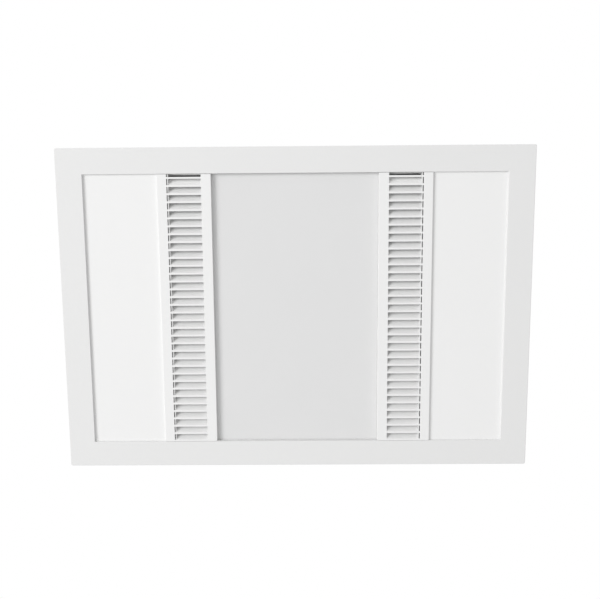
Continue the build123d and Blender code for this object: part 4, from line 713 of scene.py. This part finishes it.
class HEATER_OT_sheet_details(bpy.types.Operator):
    """Adds the spot welds at the folded corners and a bare plate held by rivets"""

    bl_idname = "heater.sheet_details"
    bl_label = "Sheet details"

    def execute(self, context):
        sizes = context.scene.heater_sizes
        tints = context.scene.heater_colours
        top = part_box("housing")[1].z
        tolerance = 0.0001
        points = [vertex.co for vertex in NODES["housing"].data.vertices]
        roof = [point for point in points if point.z > top - tolerance]
        wall_x = max(point.x for point in roof)
        wall_y = max(point.y for point in roof)
        self.weld_corners(sizes, tints.weld, wall_x, wall_y, top)
        self.rivet_plate(sizes, tints.plate, wall_y, top)
        return {"FINISHED"}

    def weld_corners(self, sizes, tint, wall_x, wall_y, top):
        """A row of spot welds up each end of the front and rear walls."""
        profile = [(sizes.weld_radius * part, height) for part, height in WELD_BEAD]
        across = wall_x - sizes.weld_corner_gap
        highest = top - sizes.weld_edge_gap
        rows = int((highest - sizes.weld_edge_gap) / sizes.weld_pitch) + 1
        builder = bmesh.new()
        for side_x, side_y, row in product((-1, 1), (-1, 1), range(rows)):
            middle = Vector((side_x * across, side_y * wall_y, highest - row * sizes.weld_pitch))
            turned(builder, middle, Vector((0.0, side_y, 0.0)), profile, WELD_SIDES)
        material = metal(
            "welded zinc", tint, rough=0.5, stretch=(700.0, 700.0, 700.0), contrast=0.3
        )
        new_piece("spot_welds", builder, material)

    def rivet_plate(self, sizes, tint, wall_y, top):
        """A bare plate with a pressed border on the front wall."""
        front = Vector((0.0, -1.0, 0.0))
        middle = Vector((0.0, -wall_y, top * sizes.plate_level))
        half_length, half_width = sizes.plate_length / 2, sizes.plate_width / 2
        builder = bmesh.new()
        rings = []
        for inset, height in PLATE_EDGE:
            outline = rounded_outline(
                half_length - inset, half_width - inset, sizes.plate_corner - inset
            )
            rings.append([
                builder.verts.new(middle + Vector((along, 0.0, up)) + height * front)
                for along, up in outline
            ])
        skin(builder, rings)
        for side_x, side_z in product((-1, 1), repeat=2):
            along = side_x * (half_length - sizes.rivet_gap)
            up = side_z * (half_width - sizes.rivet_gap)
            rivet = middle + Vector((along, 0.0, up))
            turned(builder, rivet, front, RIVET_DOME, RIVET_SIDES)
        material = metal(
            "bare plate", tint, rough=0.34, stretch=(60.0, 2500.0, 2500.0), wear=0.3
        )
        new_piece("bare_plate", builder, material, crease=radians(32))


class HEATER_OT_heating(bpy.types.Operator):
    """Finishes the reflector, tubes and thermal cut-out, and winds the heating coils"""

    bl_idname = "heater.heating"
    bl_label = "Heating"

    def execute(self, context):
        tints = context.scene.heater_colours
        mirror = metal("polished reflector", tints.reflector, rough=0.1, contrast=0.05)
        give(mirror, "reflector")
        quartz = moulding(
            "clear quartz", tints.quartz, rough=0.05, clouds=0.0, depth=0.000002, spread=0.02,
            Transmission_Weight=1.0, IOR=1.46,
        )
        give(quartz, "heater_tubes")
        ceramic = moulding("steatite", tints.ceramic, rough=0.45, grain=1800.0, clouds=0.08)
        give(ceramic, "tube_end_caps")
        black = moulding("black moulding", tints.black, rough=0.45, dust=0.15, wear=0.3)
        give(black, "thermal_cutout", "cable_gland")
        self.wind_coils(context.scene.heater_sizes, tints.wire)
        return {"FINISHED"}

    def wind_coils(self, sizes, tint):
        """One wound wire along the middle of each of the three tubes."""
        low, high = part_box("heater_coils")
        tube_low, tube_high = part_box("heater_tubes")
        wire = sizes.coil_wire / 2
        middle_z = (low.z + high.z) / 2
        coil_radius = (high.z - low.z) / 2 - wire
        pitch = (tube_high.x - tube_low.x - (tube_high.z - tube_low.z)) / 2
        start_y = low.y * sizes.coil_share
        turns = int(-2 * start_y / sizes.coil_pitch)
        lengthwise = Vector((0.0, 1.0, 0.0))
        builder = bmesh.new()
        for middle_x in (-pitch, 0.0, pitch):
            rings = []
            for step in range(turns * COIL_TURN_STEPS + 1):
                angle = 2 * pi * step / COIL_TURN_STEPS
                outward = Vector((cos(angle), 0.0, -sin(angle)))
                along = start_y + sizes.coil_pitch * step / COIL_TURN_STEPS
                centre = Vector((middle_x, along, middle_z)) + coil_radius * outward
                rings.append(circle(builder, centre, wire, outward, lengthwise, COIL_WIRE_SIDES))
            skin(builder, rings)
        material = metal("resistance wire", tint, rough=0.5, contrast=0.3)
        new_piece(
            "wound_heating_wire", builder, material, replaced=("heater_coils",)
        )


class HEATER_OT_lights(bpy.types.Operator):
    """Finishes the light trays, boards and chips"""

    bl_idname = "heater.lights"
    bl_label = "Lights"

    def execute(self, context):
        tints = context.scene.heater_colours
        enamel = moulding("white enamel", tints.tray, rough=0.35, grain=900.0)
        give(enamel, "led_tray_left", "led_tray_right")
        give(moulding("white board", tints.board, rough=0.4, grain=1500.0), "led_boards")
        give(moulding("phosphor", tints.phosphor, rough=0.3, grain=4000.0), "led_chips")
        return {"FINISHED"}


class HEATER_OT_fan(bpy.types.Operator):
    """Finishes the scroll, the impeller, the motor, the spigot and its flaps"""

    bl_idname = "heater.fan"
    bl_label = "Fan"

    def execute(self, context):
        tints = context.scene.heater_colours
        dark = moulding(
            "dark moulding", tints.casing, rough=0.5, grain=1400.0, depth=0.00006,
            clouds=0.12, dust=0.4, wear=0.35,
        )
        give(
            dark, "fan_casing", "fan_lid", "inlet_ring", "outlet_spigot", "flap_left",
            "flap_right",
        )
        wheel = moulding(
            "impeller moulding", tints.impeller, rough=0.45, grain=1400.0, wear=0.3
        )
        give(wheel, "impeller", "impeller_vanes", "impeller_rim")
        enamel = moulding(
            "motor enamel", tints.motor, rough=0.38, grain=700.0, depth=0.0001, dust=0.4,
            wear=0.5, Coat_Weight=0.15,
        )
        give(enamel, "motor_body", "motor_cap")
        give(metal("bronze", tints.bronze, rough=0.35), "motor_bearings", "terminal_screws")
        stack = metal(
            "stacked sheets", tints.stack, rough=0.45, stretch=(30.0, 30.0, 2200.0),
            contrast=0.4,
        )
        give(stack, "motor_stator", "motor_rotor")
        steel = metal("ground steel", tints.shaft, rough=0.2, stretch=(300.0, 300.0, 300.0))
        give(steel, "motor_shaft", "flap_pin", "cover_pin")
        return {"FINISHED"}


class HEATER_OT_wiring(bpy.types.Operator):
    """Finishes the terminal box, the driver, the capacitor and the leads"""

    bl_idname = "heater.wiring"
    bl_label = "Wiring"

    def execute(self, context):
        tints = context.scene.heater_colours
        grey = moulding(
            "light grey moulding", tints.box, rough=0.45, grain=1500.0, depth=0.00005,
            clouds=0.06, dust=0.35, wear=0.2,
        )
        give(grey, "terminal_box", "terminal_cover", "terminal_block", "led_driver")
        case = moulding("capacitor case", tints.capacitor, rough=0.3, grain=900.0, dust=0.3)
        give(case, "fan_capacitor")
        sleeve = moulding(
            "heat-proof sleeve", tints.sleeve, rough=0.6, grain=2600.0, depth=0.0001, dust=0.25
        )
        give(sleeve, "wire_leads")
        return {"FINISHED"}


class HEATER_PT_panel(bpy.types.Panel):
    """Lists the operators and the values that they use"""

    bl_label = "Ceiling heater"
    bl_idname = "HEATER_PT_panel"
    bl_space_type = "VIEW_3D"
    bl_region_type = "UI"
    bl_category = "Heater"

    def draw(self, context):
        scene = context.scene
        column = self.layout.column()
        for operator in OPERATORS:
            column.operator(operator.bl_idname)
        for group in (scene.heater_colours, scene.heater_sizes, scene.heater_stage):
            for name in group.bl_rna.properties.keys():
                if name not in ("rna_type", "name"):
                    column.prop(group, name)


GROUPS = (HeaterColours, HeaterSizes, HeaterStage)
OPERATORS = (
    HEATER_OT_stage,
    HEATER_OT_fascia,
    HEATER_OT_housing,
    HEATER_OT_sheet_details,
    HEATER_OT_heating,
    HEATER_OT_lights,
    HEATER_OT_fan,
    HEATER_OT_wiring,
)
CLASSES = (*GROUPS, *OPERATORS, HEATER_PT_panel)


def register():
    """Registers the classes and hangs their values on the scene."""
    for part in CLASSES:
        bpy.utils.register_class(part)
    bpy.types.Scene.heater_colours = PointerProperty(type=HeaterColours)
    bpy.types.Scene.heater_sizes = PointerProperty(type=HeaterSizes)
    bpy.types.Scene.heater_stage = PointerProperty(type=HeaterStage)


def unregister():
    """Takes the values and the classes away again."""
    del bpy.types.Scene.heater_colours
    del bpy.types.Scene.heater_sizes
    del bpy.types.Scene.heater_stage
    for part in reversed(CLASSES):
        bpy.utils.unregister_class(part)


def main():
    """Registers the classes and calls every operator."""
    register()
    bpy.ops.heater.stage()
    bpy.ops.heater.fascia()
    bpy.ops.heater.housing()
    bpy.ops.heater.sheet_details()
    bpy.ops.heater.heating()
    bpy.ops.heater.lights()
    bpy.ops.heater.fan()
    bpy.ops.heater.wiring()


if __name__ == "__main__":
    main()
